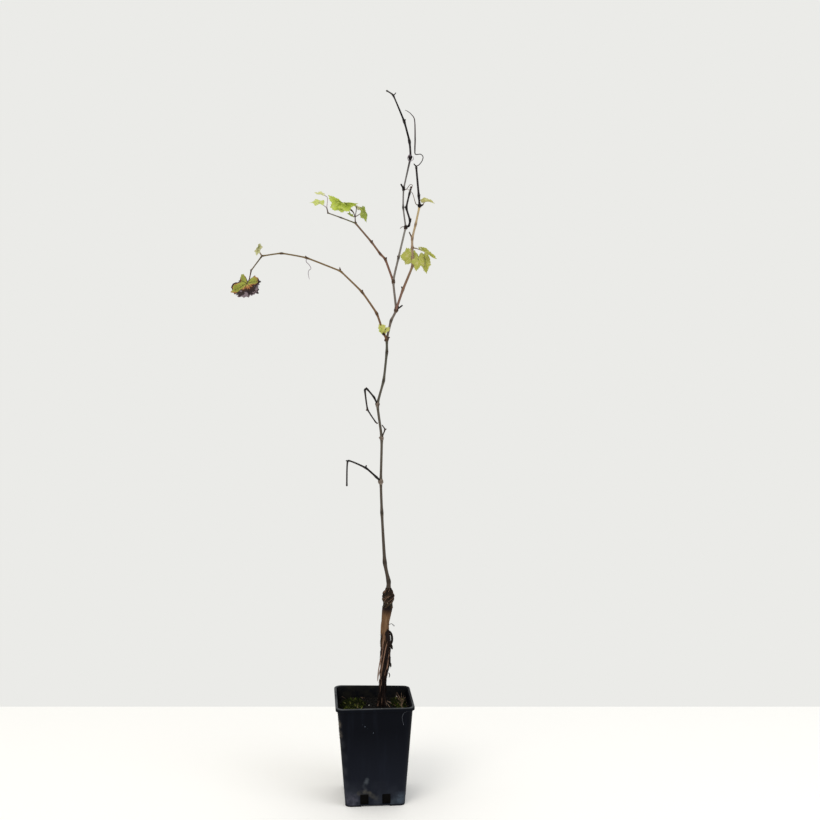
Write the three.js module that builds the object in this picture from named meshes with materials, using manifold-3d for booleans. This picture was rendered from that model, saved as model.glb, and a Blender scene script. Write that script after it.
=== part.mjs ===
// A young grafted grapevine in a square, deep nursery pot.
//
// Millimetres, +Z up. The origin is the middle of the pot's flat underside, and
// the pot's sides run along X and Y. Seen from the front, along +Y, the long
// left shoot reaches towards -X.
//
// The vine is grown from its joints. Every limb is a chain of internodes, each
// [length, lean, back]: its length in mm, its lean from upright in degrees
// (positive to the right, towards +X), and how far it turns to the back
// (positive, towards +Y) or to the front (negative).

import * as THREE from 'three';
import { mergeVertices } from 'three/addons/utils/BufferGeometryUtils.js';
import Module from 'manifold-3d';

const wasm = await Module();
wasm.setup();

// ------------------------------------------------------------- driving sizes

const GAP = 0.3; // clearance between pieces that touch

const POT = {
  rim: 150, // width over the rolled rim
  base: 114.5, // width at the underside
  height: 198,
  wall: 1.6,
  lip: 3, // how far the rim stands out
  lipHeight: 7,
  corner: 14, // corner radius at the rim
  floor: 3, // height of the floor's underside
  floorThickness: 2,
};
const DRAIN = { width: 16, low: 4, high: 25, offset: 21 }; // two in each side
const FOOT = { width: 8, arch: 56, archHeight: 2.5 }; // corner feet and cross ribs

const SOIL = {
  top: 180, // the flat round the trunk
  edge: 174, // the lower edge along the wall
  flat: 30, // half width of the flat
  shoulder: 54,
  shoulderHeight: 178,
};

const MOSS = [ // cushions of moss on it: middle x and y, half width, half depth, height
  [-40, 8, 24, 32, 7],
  [-48, -24, 14, 18, 4.5],
  [51, 6, 16, 32, 6],
];

const RING_STEP = 7; // distance between the rings of a limb
const TENSION = 0.2; // how round a limb bends at its joints
const LEAF_THICKNESS = 0.7;

// Colours and roughness of the materials.
const FINISH = {
  pot: { color: 0x17191f, roughness: 0.5 },
  soil: { color: 0x241d17, roughness: 1 },
  old_bark: { color: 0x3f3026, roughness: 0.95 },
  stem_bark: { color: 0x75685c, roughness: 0.85 },
  cane: { color: 0x9c7b58, roughness: 0.7 },
  dead_wood: { color: 0x3a3130, roughness: 0.85 },
  tendril: { color: 0x7d6a55, roughness: 0.8 },
  leaf: { color: 0x9fb43a, roughness: 0.6 },
  withered: { color: 0x4a2a2a, roughness: 0.8 },
};

// ------------------------------------------------------- solids and geometry

// A closed geometry as a solid: only positions, shared vertices merged, and
// the triangles that the merge flattens at the poles left out.
function solid(geometry) {
  const bare = new THREE.BufferGeometry();
  bare.setAttribute('position', geometry.getAttribute('position').clone());
  const order = geometry.index ?? { count: bare.getAttribute('position').count };
  const corners = Array.from({ length: order.count }, (_, i) => (geometry.index ? order.getX(i) : i));
  bare.setIndex(corners);
  const merged = mergeVertices(bare, 1e-4);
  const triVerts = [];
  for (let i = 0; i < merged.index.count; i += 3) {
    const [a, b, c] = [0, 1, 2].map((k) => merged.index.getX(i + k));
    if (a !== b && b !== c && c !== a) triVerts.push(a, b, c);
  }
  return new wasm.Manifold(
    new wasm.Mesh({
      numProp: 3,
      vertProperties: new Float32Array(merged.getAttribute('position').array),
      triVerts: new Uint32Array(triVerts),
    }),
  );
}

// The geometry of a solid, in flat facets.
function facets(body) {
  const mesh = body.getMesh();
  const geometry = new THREE.BufferGeometry();
  geometry.setAttribute('position', new THREE.BufferAttribute(mesh.vertProperties, 3));
  geometry.setIndex(new THREE.BufferAttribute(mesh.triVerts, 1));
  geometry.computeVertexNormals();
  return geometry;
}

// The largest body of a solid: a cut can leave a loose scrap beside it.
function whole(body) {
  const bodies = body.decompose();
  return bodies.reduce((most, next) => (next.volume() > most.volume() ? next : most));
}

function box(width, depth, height, x, y, z, turn = 0) {
  const geometry = new THREE.BoxGeometry(width, depth, height);
  geometry.rotateZ(turn);
  geometry.translate(x, y, z);
  return solid(geometry);
}

// ------------------------------------------------------------------- the pot

const CORNER_STEPS = 3; // segments in each rounded corner
const SQUARE_SEGMENTS = 4 * (CORNER_STEPS + 1);

// One corner point of a rounded square of the given half width.
function squarePoint(index, half) {
  const quarter = Math.floor(index / (CORNER_STEPS + 1)) % 4;
  const step = index % (CORNER_STEPS + 1);
  const radius = Math.min(half, (POT.corner * half) / (POT.rim / 2));
  const turn = (quarter * Math.PI) / 2;
  const angle = (step / CORNER_STEPS) * (Math.PI / 2);
  const x = half - radius + radius * Math.cos(angle);
  const y = half - radius + radius * Math.sin(angle);
  return [x * Math.cos(turn) - y * Math.sin(turn), x * Math.sin(turn) + y * Math.cos(turn)];
}

// A square vessel: a lathe blank of [half width, height] pairs whose round
// rings are set out as rounded squares.
function squareLathe(profile) {
  const points = profile.map(([half, height]) => new THREE.Vector2(half, height));
  const blank = new THREE.LatheGeometry(points, SQUARE_SEGMENTS);
  const position = blank.getAttribute('position');
  for (let i = 0; i < position.count; i += 1) {
    const [half, height] = profile[i % profile.length];
    const segment = Math.floor(i / profile.length) % SQUARE_SEGMENTS;
    const [x, y] = half > 0 ? squarePoint(segment, half) : [0, 0];
    position.setXYZ(i, x, y, height);
  }
  return solid(blank);
}

const wallSlope = (POT.rim / 2 - POT.lip - POT.base / 2) / POT.height;
const outerHalf = (height) => POT.base / 2 + wallSlope * height;
const innerHalf = (height) => outerHalf(height) - POT.wall;

function pot() {
  const floorTop = POT.floor + POT.floorThickness;
  const lipLow = POT.height - POT.lipHeight;
  let body = squareLathe([
    [0, POT.floor],
    [outerHalf(0) - FOOT.width, POT.floor],
    [outerHalf(0) - FOOT.width, 0],
    [outerHalf(0) - 1, 0],
    [outerHalf(2), 2],
    [outerHalf(lipLow), lipLow],
    [POT.rim / 2 - 0.6, lipLow - 0.6],
    [POT.rim / 2, lipLow + 1],
    [POT.rim / 2, POT.height - 1.2],
    [POT.rim / 2 - 1.4, POT.height],
    [innerHalf(POT.height) + 0.2, POT.height - 0.4],
    [innerHalf(lipLow), lipLow],
    [innerHalf(floorTop), floorTop],
    [0, floorTop],
  ]);
  const reach = (outerHalf(0) - FOOT.width) * Math.SQRT2 * 2 - POT.corner;
  for (const turn of [Math.PI / 4, -Math.PI / 4]) {
    body = body.add(box(reach, FOOT.width, POT.floor + 1, 0, 0, (POT.floor + 1) / 2, turn));
  }
  const drainHeight = DRAIN.high - DRAIN.low;
  for (let side = 0; side < 4; side += 1) {
    const turn = (side * Math.PI) / 2;
    const at = (across, out) => [
      out * Math.cos(turn) - across * Math.sin(turn),
      out * Math.sin(turn) + across * Math.cos(turn),
    ];
    for (const offset of [-DRAIN.offset, DRAIN.offset]) {
      const [x, y] = at(offset, outerHalf(0));
      body = body.subtract(
        box(FOOT.width * 2, DRAIN.width, drainHeight, x, y, DRAIN.low + drainHeight / 2, turn),
      );
    }
    const [x, y] = at(0, outerHalf(0) - FOOT.width / 2);
    body = body.subtract(box(FOOT.width * 2, FOOT.arch, FOOT.archHeight * 2, x, y, 0, turn));
  }
  return body;
}

// A cushion of moss: a low dome that grows out of the soil.
function cushion([x, y, width, depth, height]) {
  const dome = new THREE.SphereGeometry(1, 14, 8);
  dome.rotateX(Math.PI / 2);
  dome.scale(width, depth, height + SOIL.top - SOIL.shoulderHeight);
  dome.translate(x, y, SOIL.shoulderHeight);
  return solid(dome);
}

function pottingSoil() {
  const low = POT.floor + POT.floorThickness + GAP;
  const half = (height) => innerHalf(height) - GAP;
  const inside = squareLathe([[0, low], [half(low), low], [half(POT.height), POT.height], [0, POT.height]]);
  const compost = squareLathe([
    [0, low],
    [half(low), low],
    [half(SOIL.edge), SOIL.edge],
    [SOIL.shoulder, SOIL.shoulderHeight],
    [SOIL.flat, SOIL.top],
    [0, SOIL.top],
  ]);
  return MOSS.map(cushion).reduce((body, dome) => body.add(dome.intersect(inside)), compost);
}

// ----------------------------------------------------------------- the limbs

const radians = THREE.MathUtils.degToRad;

function direction(lean, back) {
  const [a, b] = [radians(lean), radians(back)];
  return new THREE.Vector3(Math.sin(a) * Math.cos(b), Math.sin(b), Math.cos(a) * Math.cos(b));
}

// The joints of a chain of internodes that starts at a point.
function joints(start, internodes) {
  const points = [start.clone()];
  for (const [length, lean, back] of internodes) {
    points.push(points.at(-1).clone().addScaledVector(direction(lean, back), length));
  }
  return points;
}

// A limb: a lathe blank whose rings are set out along the curve through its
// joints. It tapers from foot to tip and swells at each joint; radii can also
// be given at even steps. Grown limbs are used to cut their neighbours clear.
function limb(points, { radii, sides = 7, knot = 0.3, step = RING_STEP, relief = () => 1 }, grow = 0) {
  const curve = new THREE.CatmullRomCurve3(points, false, 'catmullrom', TENSION);
  const length = curve.getLength();
  const rings = Math.max(2, Math.round(length / step));
  const frames = curve.computeFrenetFrames(rings, false);
  const divisions = 200;
  const lengths = curve.getLengths(divisions);
  const knots = points.map((_, i) => lengths[Math.round((divisions * i) / (points.length - 1))]);
  const knotLength = Math.max(2.2 * Math.max(...radii), step * 0.6);

  const radiusAt = (s) => {
    const place = (s / length) * (radii.length - 1);
    const k = Math.min(Math.floor(place), radii.length - 2);
    const plain = THREE.MathUtils.lerp(radii[k], radii[k + 1], place - k);
    const nearest = Math.min(...knots.map((at) => Math.abs(at - s)));
    return plain * (1 + knot * Math.exp(-((nearest / knotLength) ** 2)));
  };

  const profile = [new THREE.Vector2(0, 0)];
  for (let k = 0; k <= rings; k += 1) {
    profile.push(new THREE.Vector2(radiusAt((k / rings) * length) + grow, k));
  }
  profile.push(new THREE.Vector2(0, rings));
  const blank = new THREE.LatheGeometry(profile, sides);
  const position = blank.getAttribute('position');
  const centres = frames.tangents.map((_, k) => curve.getPointAt(k / rings));
  centres[0].addScaledVector(frames.tangents[0], -grow);
  centres[rings].addScaledVector(frames.tangents[rings], grow);
  for (let i = 0; i < position.count; i += 1) {
    const k = Math.min(Math.max((i % profile.length) - 1, 0), rings);
    const angle = (Math.floor(i / profile.length) % sides) * ((2 * Math.PI) / sides);
    const swell = relief((k / rings) * length, angle);
    const place = centres[k]
      .clone()
      .addScaledVector(frames.binormals[k], position.getX(i) * swell)
      .addScaledVector(frames.normals[k], position.getZ(i) * swell);
    position.setXYZ(i, place.x, place.y, place.z);
  }
  return solid(blank);
}

// Ridges of old, splitting bark that wind up the trunk.
const barkRidges = (s, angle) =>
  1 + 0.09 * Math.sin(3 * angle + s / 24) + 0.05 * Math.sin(5 * angle - s / 13 + 1);

// Lumps of the callus where the vine was grafted.
const callus = (s, angle) =>
  1 + 0.1 * Math.sin(2 * angle + s / 5) + 0.07 * Math.sin(4 * angle - s / 7 + 2);

// Each limb grows from a joint of an earlier one.
const LIMBS = {
  rootstock_trunk: {
    finish: 'old_bark',
    radii: [7.6, 6.6, 6.7, 8.6, 9.2, 8.5, 7.7, 9.4],
    sides: 12,
    knot: 0,
    relief: barkRidges,
    internodes: [[54, 2, 0], [40, 7, -1], [40, 1, 0], [29, -2, 0], [36, 7.5, 0]],
  },
  graft_union: {
    from: ['rootstock_trunk', 5],
    finish: 'old_bark',
    radii: [9.4, 9.1, 11, 11.2, 9, 5],
    sides: 12,
    knot: 0,
    step: 4,
    relief: callus,
    internodes: [[20, 5, 0], [18, 1, 0]],
  },
  main_stem_lower: {
    from: ['graft_union', 2],
    finish: 'stem_bark',
    radii: [3.6, 2.6, 2.4, 2.3, 2.2],
    internodes: [
      [13, 1, 0], [37, -11, 10], [96, -3, 4], [62, -2, -6], [84, 1, -4],
      [65, -7, -3], [47, 15, 9], [54, 7, 6], [25, 0, 0],
    ],
  },
  main_stem_middle: {
    from: ['main_stem_lower', 9],
    finish: 'stem_bark',
    radii: [2.3, 2.1, 1.8],
    internodes: [[36, 13, -4], [23, 24, -12], [54, -5, 9], [46, 12, -9], [58, 13, -7]],
  },
  main_stem_upper: {
    from: ['main_stem_middle', 5],
    finish: 'dead_wood',
    radii: [1.6, 1.4, 1.5, 1.9, 1.9, 1.6, 1.2],
    knot: 0.5,
    internodes: [
      [37, -7, 3], [35, 2, 7], [58, 12, -7], [30, -3, 4], [39, -14, 10], [51, -24, -7],
      [17, -58, -17],
    ],
  },
  left_shoot_rising: {
    from: ['main_stem_lower', 9],
    finish: 'cane',
    radii: [2.1, 1.9, 1.6],
    knot: 0.45,
    internodes: [[14, -29, -22], [43, -20, -21], [53, -35, -22], [60, -46, -22]],
  },
  left_shoot_level: {
    from: ['left_shoot_rising', 4],
    finish: 'cane',
    radii: [1.6, 1.3],
    knot: 0.45,
    internodes: [[73, -69, -25], [49, -80, -23], [36, -98, -15]],
  },
  left_shoot_drooping: {
    from: ['left_shoot_level', 3],
    finish: 'cane',
    radii: [1.3, 1],
    internodes: [[32, -143, -8]],
  },
  upper_left_shoot: {
    from: ['main_stem_middle', 3],
    finish: 'cane',
    radii: [2.2, 1.7],
    internodes: [[45, -19, 17], [16, -41, 25], [30, -35, 26], [54, -39, 29]],
  },
  upper_left_twig: {
    from: ['upper_left_shoot', 4],
    finish: 'cane',
    radii: [1.3, 1],
    internodes: [[33, -68, 29], [31, -69, 31]],
  },
  right_shoot: {
    from: ['main_stem_middle', 2],
    finish: 'cane',
    radii: [2.3, 2.2, 1.8],
    internodes: [
      [43, 17, -23], [53, 20, -26], [35, -3, -22], [18, -2, -22], [28, 12, -22], [35, 11, -18],
    ],
  },
  right_dead_cane: {
    from: ['right_shoot', 6],
    finish: 'dead_wood',
    radii: [1.9, 1.75],
    knot: 0.4,
    internodes: [[18, -5, 0], [55, -4, 13]],
  },
  dead_twig_low: {
    from: ['main_stem_lower', 4],
    finish: 'dead_wood',
    radii: [2, 1.8, 1.5, 1.5],
    internodes: [[14, -44, -22], [31, -46, -24], [43, -64, -27], [48, -177, -9]],
  },
  dead_twig_stub: {
    from: ['main_stem_lower', 5],
    finish: 'dead_wood',
    radii: [1.4, 1],
    internodes: [[20, 18, -22], [11, -33, -8]],
  },
  dead_twig_looped: {
    from: ['main_stem_lower', 6],
    finish: 'dead_wood',
    radii: [1.8, 1.6, 1.3],
    internodes: [[17, -25, -18], [24, -39, -28], [5, -110, -19], [38, 172, 9], [32, 148, 12]],
  },
  dead_twig_upper: {
    from: ['main_stem_middle', 5],
    finish: 'dead_wood',
    radii: [1.7, 1.8, 1.5],
    knot: 0.4,
    internodes: [[10, 65, -55], [11, 11, -24], [25, -18, -17], [27, 12, -9], [10, 14, -15]],
  },
  right_shoot_spur: {
    from: ['right_shoot', 4],
    finish: 'cane',
    radii: [1.5, 0.9],
    step: 4,
    internodes: [[14, -26, -12]],
  },
};

// Tendrils are threads with no swollen joints.
const TENDRIL = { radii: [0.9, 0.7, 0.5], sides: 5, knot: 0, step: 4 };
const TENDRILS = {
  tendril_top: {
    from: ['right_dead_cane', 2],
    radii: [0.9, 0.8, 0.8, 1.3, 1.35, 1.2, 1, 0.7, 0.5],
    internodes: [
      [5, 64, -13], [6, 44, 6], [6, 31, 18], [6, 14, 18], [5, -25, 37], [5, -57, 40],
      [5, -95, 28], [5, -76, 31], [9, -2, 20], [22, 3, 20], [36, 0, 20], [15, -25, 34],
      [10, -43, 40], [11, -54, 52],
    ],
  },
  tendril_right: {
    from: ['right_shoot', 6],
    internodes: [[8, -62, -10], [20, -18, 6], [12, -50, 12]],
  },
  tendril_stem: {
    from: ['main_stem_upper', 2],
    internodes: [[6, 108, -39], [6, 40, -23], [5, 35, -26], [3, 71, -3], [3, 124, -4], [3, -178, 0]],
  },
  tendril_curl: {
    from: ['main_stem_upper', 3],
    internodes: [[8, -15, -45], [6, -140, -8], [6, 171, -6], [5, 110, -10], [6, 52, 4], [7, -6, 30]],
  },
  tendril_hanging: {
    from: ['left_shoot_level', 1],
    radii: [0.7, 0.6, 0.5],
    internodes: [
      [7, -175, -12], [8, 137, -10], [7, 155, -2], [6, -135, 12], [6, -173, 11], [10, 169, -1],
    ],
  },
  tendril_node: {
    from: ['main_stem_middle', 5],
    internodes: [[7, -84, -14], [6, -130, -6]],
  },
};

// ------------------------------------------------------------------ the leaves

// Reach of a vine leaf's edge from its petiole's end, as a share of the middle
// lobe: five lobes, with the deep notch that the petiole stands in. Cut is how
// deep the lobes are cut.
const LOBES = [[0, 1], [58, 0.86], [118, 0.66]];
function edgeReach(angle, cut) {
  const off = Math.abs(THREE.MathUtils.radToDeg(Math.atan2(Math.sin(angle), Math.cos(angle))));
  const lobes = LOBES.map(([at, reach]) => {
    const away = Math.min(90, cut * Math.abs(off - at));
    return reach * Math.cos(radians(away));
  });
  return Math.max(0.12, ...lobes);
}

const LEAF_SEGMENTS = 20;
const LEAF_RINGS = [0.55, 1];

// A blade: a lathe disc set out to the lobed edge, then curled. The halves
// fold up from the midrib, the tip and the sides curl down, and the edge waves.
const FLAT = { roll: 0, spread: 1, fold: 0, curl: 0, sag: 0, wave: 0.08, turn: 0, cut: 1.3 };
function blade(at, leaf) {
  const { lean, back, roll, reach, spread, fold, curl, sag, wave, turn, cut } = { ...FLAT, ...leaf };
  const half = LEAF_THICKNESS / 2;
  const below = [0, ...LEAF_RINGS].map((share) => [share, -half]);
  const above = [...LEAF_RINGS, 0].sort((a, b) => b - a).map((share) => [share, half]);
  const profile = [...below, ...above];
  const points = profile.map(([share, height]) => new THREE.Vector2(share, height));
  const disc = new THREE.LatheGeometry(points, LEAF_SEGMENTS);

  const midrib = direction(lean, back);
  const face = new THREE.Vector3(0, -1, 0);
  face.addScaledVector(midrib, -face.dot(midrib)).normalize();
  face.applyAxisAngle(midrib, radians(roll));
  const side = new THREE.Vector3().crossVectors(face, midrib);

  const position = disc.getAttribute('position');
  for (let i = 0; i < position.count; i += 1) {
    const [share, height] = profile[i % profile.length];
    const angle = ((Math.floor(i / profile.length) % LEAF_SEGMENTS) * 2 * Math.PI) / LEAF_SEGMENTS;
    const far = reach * share * edgeReach(angle, cut);
    const along = far * Math.cos(angle);
    const across = far * Math.sin(angle) * spread;
    const lift = Math.abs(across) * Math.sin(radians(fold));
    const droop = (curl * along * Math.abs(along) + sag * across * across) / reach;
    const ripple = wave * reach * share * share * Math.sin(5 * angle + turn);
    const place = at
      .clone()
      .addScaledVector(midrib, along)
      .addScaledVector(side, across * Math.cos(radians(fold)))
      .addScaledVector(face, height + lift - droop + ripple);
    position.setXYZ(i, place.x, place.y, place.z);
  }
  return solid(disc);
}

// Each mass of foliage grows from one joint: a twig, a petiole for each leaf
// from the twig's end, and the blade on the petiole's end.
const PETIOLE = { radii: [0.8, 0.65], sides: 5, knot: 0, step: 5 };
const TWIG = { radii: [1.3, 0.9], sides: 6, knot: 0.3, step: 5 };
const FOLIAGE = {
  foliage_fork: {
    from: ['left_shoot_rising', 1],
    finish: 'leaf',
    twig: [[6, 0, -50]],
    leaves: [
      {
        petiole: [[7, -40, -24]], lean: 41, back: -36, roll: -35, reach: 12, spread: 1.15,
        fold: 19, curl: 0.23, turn: 1, cut: 1.05,
      },
      {
        petiole: [[6, 37, -38]], lean: 100, back: -35, roll: -34, reach: 11, spread: 1.15,
        fold: -20, curl: -0.16, cut: 1.6,
      },
      {
        petiole: [[7, -93, -34]], lean: -38, back: -28, roll: 34, reach: 12, spread: 0.55,
        fold: 26, curl: -0.12, cut: 1.0,
      },
    ],
  },
  foliage_left_end: {
    from: ['left_shoot_level', 3],
    finish: 'leaf',
    twig: [[10, -31, -4]],
    leaves: [
      {
        petiole: [[6, -21, -5]], lean: 21, back: 25, roll: 34, reach: 10, spread: 1.1,
        fold: 50, curl: -0.25, cut: 1.0,
      },
      {
        petiole: [[2, -52, -23]], lean: -158, back: -22, roll: 21, reach: 10, spread: 0.83,
        fold: 19, curl: 0.23,
      },
    ],
  },
  foliage_withered: {
    from: ['left_shoot_drooping', 1],
    finish: 'withered',
    twig: [[16, -168, -6]],
    leaves: [
      {
        petiole: [[9, -147, -7]], lean: -165, back: -27, roll: 20, reach: 41, spread: 0.96,
        fold: -9, curl: -0.45, sag: 0.2, wave: 0.16, turn: 2, cut: 1.4,
      },
    ],
  },
  foliage_upper_left_tip: {
    from: ['upper_left_twig', 2],
    finish: 'leaf',
    twig: [[11, -13, 18]],
    leaves: [
      {
        petiole: [[17, -54, -17]], lean: -86, back: 3, roll: 50, reach: 21, spread: 0.58,
        fold: 3, curl: 0.1, cut: 1.0,
      },
      {
        petiole: [[22, 4, 24], [12, -60, 5]], lean: -83, back: -2, roll: 63, reach: 16,
        spread: 0.66, fold: 12, curl: -0.07, turn: 2, cut: 1.6,
      },
    ],
  },
  foliage_upper_left_lateral: {
    from: ['upper_left_shoot', 4],
    finish: 'leaf',
    twig: [[12, -2, 9]],
    leaves: [
      {
        petiole: [[12, -27, 6], [25, -59, 3]], lean: -54, back: -13, roll: -34, reach: 32,
        spread: 0.76, fold: 36, curl: 0.06, wave: 0.06, turn: 1,
      },
      {
        petiole: [[12, -22, 6], [23, -47, -8]], lean: 90, back: -23, roll: 37, reach: 31,
        spread: 0.77, fold: 55, curl: -0.05, wave: 0.06, turn: 1, cut: 1.05,
      },
      {
        petiole: [[20, 60, -8]], lean: 165, back: -24, roll: 35, reach: 25, spread: 0.5,
        fold: 30, turn: 1, cut: 1.0,
      },
      { petiole: [[14, 12, 34], [12, 6, 30]], lean: 116, back: 12, roll: 83, reach: 22, fold: 6 },
      {
        petiole: [[9, -78, -31]], lean: -67, back: -31, roll: 68, reach: 12, spread: 0.82,
        fold: 26, curl: -0.12,
      },
    ],
  },
  foliage_right_behind: {
    from: ['right_shoot', 2],
    finish: 'leaf',
    twig: [[6, -30, 60]],
    leaves: [
      {
        petiole: [[18, 1, 39]], lean: -85, back: 22, roll: 3, reach: 24, spread: 0.93, fold: 6,
        curl: 0.15, cut: 1.0,
      },
    ],
  },
  foliage_right_hanging: {
    from: ['right_shoot', 2],
    finish: 'leaf',
    twig: [[8, 40, -20]],
    leaves: [
      {
        petiole: [[9, 38, -19]], lean: -168, back: -27, roll: 6, reach: 30, spread: 0.6,
        fold: 9, curl: -0.16,
      },
      {
        petiole: [[14, 48, 4], [8, 114, 9]], lean: 175, back: -25, roll: 4, reach: 33,
        spread: 0.46, fold: 17, curl: -0.14, cut: 1.0,
      },
    ],
  },
  foliage_right_upper: {
    from: ['right_shoot', 3],
    finish: 'leaf',
    twig: [[8, 100, -20]],
    leaves: [
      {
        petiole: [[15, 112, -26]], lean: 122, back: -16, roll: -40, reach: 30, spread: 0.34,
        fold: 50, cut: 1.5,
      },
    ],
  },
  foliage_right_top: {
    from: ['right_shoot', 6],
    finish: 'leaf',
    twig: [[7, 70, 8]],
    leaves: [
      {
        petiole: [[5, 26, -1]], lean: 76, back: 10, roll: -60, reach: 20, spread: 0.6,
        fold: 45, curl: 0.42, cut: 1.4,
      },
    ],
  },
};

// ------------------------------------------------------------------- assembly

const vine = new THREE.Group();

function addPiece(name, body, finish) {
  const { color, roughness } = FINISH[finish];
  const material = new THREE.MeshStandardMaterial({ color, roughness, metalness: 0, flatShading: true });
  if (finish === 'leaf' || finish === 'withered') material.side = THREE.DoubleSide;
  const mesh = new THREE.Mesh(facets(body), material);
  mesh.name = name;
  vine.add(mesh);
}

addPiece('pot', pot(), 'pot');
addPiece('potting_soil', pottingSoil(), 'soil');

const grown = {}; // the joints of each limb
const clearances = []; // each limb with the gap round it
const ground = box(POT.rim, POT.rim, SOIL.top, 0, 0, SOIL.top / 2 + GAP);

// Cuts a new piece clear of all the limbs before it.
function clear(body) {
  return whole(clearances.reduce((rest, taken) => rest.subtract(taken), body.subtract(ground)));
}

const TRUNK_FOOT = new THREE.Vector3(16, -1, SOIL.top - 4); // trimmed flat at the soil

function footOf({ from }) {
  return from ? grown[from[0]][from[1]] : TRUNK_FOOT;
}

for (const [name, spec] of Object.entries(LIMBS)) {
  const points = joints(footOf(spec), spec.internodes);
  grown[name] = points;
  addPiece(name, clear(limb(points, spec)), spec.finish);
  clearances.push(limb(points, spec, GAP));
}

for (const [name, spec] of Object.entries(TENDRILS)) {
  const points = joints(footOf(spec), spec.internodes);
  const thread = { ...TENDRIL, ...spec };
  addPiece(name, clear(limb(points, thread)), 'tendril');
  clearances.push(limb(points, thread, GAP));
}

const ROOT_DEPTH = 0.12; // share of a blade that its petiole runs on into it

for (const [name, { from, finish, twig, leaves }] of Object.entries(FOLIAGE)) {
  const stem = joints(grown[from[0]][from[1]], twig);
  let body = limb(stem, TWIG);
  for (const leaf of leaves) {
    const petiole = joints(stem.at(-1), leaf.petiole);
    const end = petiole.at(-1);
    const root = end.clone().addScaledVector(direction(leaf.lean, leaf.back), ROOT_DEPTH * leaf.reach);
    body = body.add(limb([...petiole, root], PETIOLE)).add(blade(end, leaf));
  }
  addPiece(name, clear(body), finish);
}

export default vine;
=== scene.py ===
"""A young grafted grapevine in a square, deep nursery pot.

Every size here is in millimetres, in the part's own frame, and becomes metres
where a mesh is made. The vine grows by the same rule as its solids: a limb is a
chain of internodes, each [length, lean, back], with a joint at each end. Lean
is degrees from upright, to the right; back is degrees towards +Y.
"""

import math
import random

import bpy
import numpy as np
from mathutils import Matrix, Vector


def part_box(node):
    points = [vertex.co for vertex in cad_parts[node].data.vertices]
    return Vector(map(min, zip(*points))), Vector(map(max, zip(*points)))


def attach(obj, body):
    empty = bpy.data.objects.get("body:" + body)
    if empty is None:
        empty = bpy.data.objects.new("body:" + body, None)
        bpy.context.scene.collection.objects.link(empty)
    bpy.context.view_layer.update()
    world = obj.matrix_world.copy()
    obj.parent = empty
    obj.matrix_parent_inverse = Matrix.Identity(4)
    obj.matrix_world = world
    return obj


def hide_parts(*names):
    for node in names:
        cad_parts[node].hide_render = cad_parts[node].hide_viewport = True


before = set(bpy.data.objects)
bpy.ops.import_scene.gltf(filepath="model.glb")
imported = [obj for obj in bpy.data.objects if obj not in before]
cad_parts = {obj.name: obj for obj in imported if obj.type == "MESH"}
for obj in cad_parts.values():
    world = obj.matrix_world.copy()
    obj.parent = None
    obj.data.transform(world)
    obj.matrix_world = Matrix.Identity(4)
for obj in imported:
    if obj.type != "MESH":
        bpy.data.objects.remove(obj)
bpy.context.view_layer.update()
bpy.ops.object.select_all(action="DESELECT")

MM = 0.001
dice = random.Random(11)


# ---------------------------------------------------------------- materials


def linear(hex_colour):
    """A colour written as sRGB hex, as the linear RGBA that shaders take."""
    parts = [int(hex_colour[i : i + 2], 16) / 255 for i in (0, 2, 4)]
    return (*[p / 12.92 if p <= 0.04045 else ((p + 0.055) / 1.055) ** 2.4 for p in parts], 1.0)


def per(size):
    """The scale of a pattern whose grain is this many millimetres across."""
    return 1 / (size * MM)


def add(tree, kind, inputs=None, **settings):
    """Adds one node. An input is a value, a hex colour or the socket that feeds it."""
    made = tree.nodes.new(kind)
    for name, value in settings.items():
        setattr(made, name, value)
    for name, value in (inputs or {}).items():
        if isinstance(value, bpy.types.NodeSocket):
            tree.links.new(value, made.inputs[name])
        else:
            made.inputs[name].default_value = linear(value) if isinstance(value, str) else value
    return made


def start(name, roughness, ior=1.5, **sockets):
    """An empty material and its Principled shader."""
    material = bpy.data.materials.new(name)
    material.use_nodes = True
    tree = material.node_tree
    shader = tree.nodes["Principled BSDF"]
    shader.inputs["Roughness"].default_value = roughness
    shader.inputs["IOR"].default_value = ior
    for socket, value in sockets.items():
        shader.inputs[socket.replace("_", " ")].default_value = value
    return material, tree, shader


def coats(tree, colour, layers):
    """Lays coats over a ground colour. A layer is the socket that says how thick
    it lies, and its tint. Colours are hex values or sockets."""
    for amount, tint in layers:
        coat = {0: amount, 6: colour, 7: tint}
        colour = add(tree, "ShaderNodeMix", coat, data_type="RGBA", clamp_factor=True).outputs[2]
    return colour


def cover(tree, shader, colour, height, depth, strength):
    """Wires a colour, and a relief of that depth in mm, to the shader."""
    tree.links.new(colour, shader.inputs["Base Color"])
    bump = add(tree, "ShaderNodeBump", {"Height": height, "Distance": depth * MM, "Strength": strength})
    tree.links.new(bump.outputs[0], shader.inputs["Normal"])


POT_FOOT = "161922"  # the walls are paler with dust towards the ground
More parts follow.
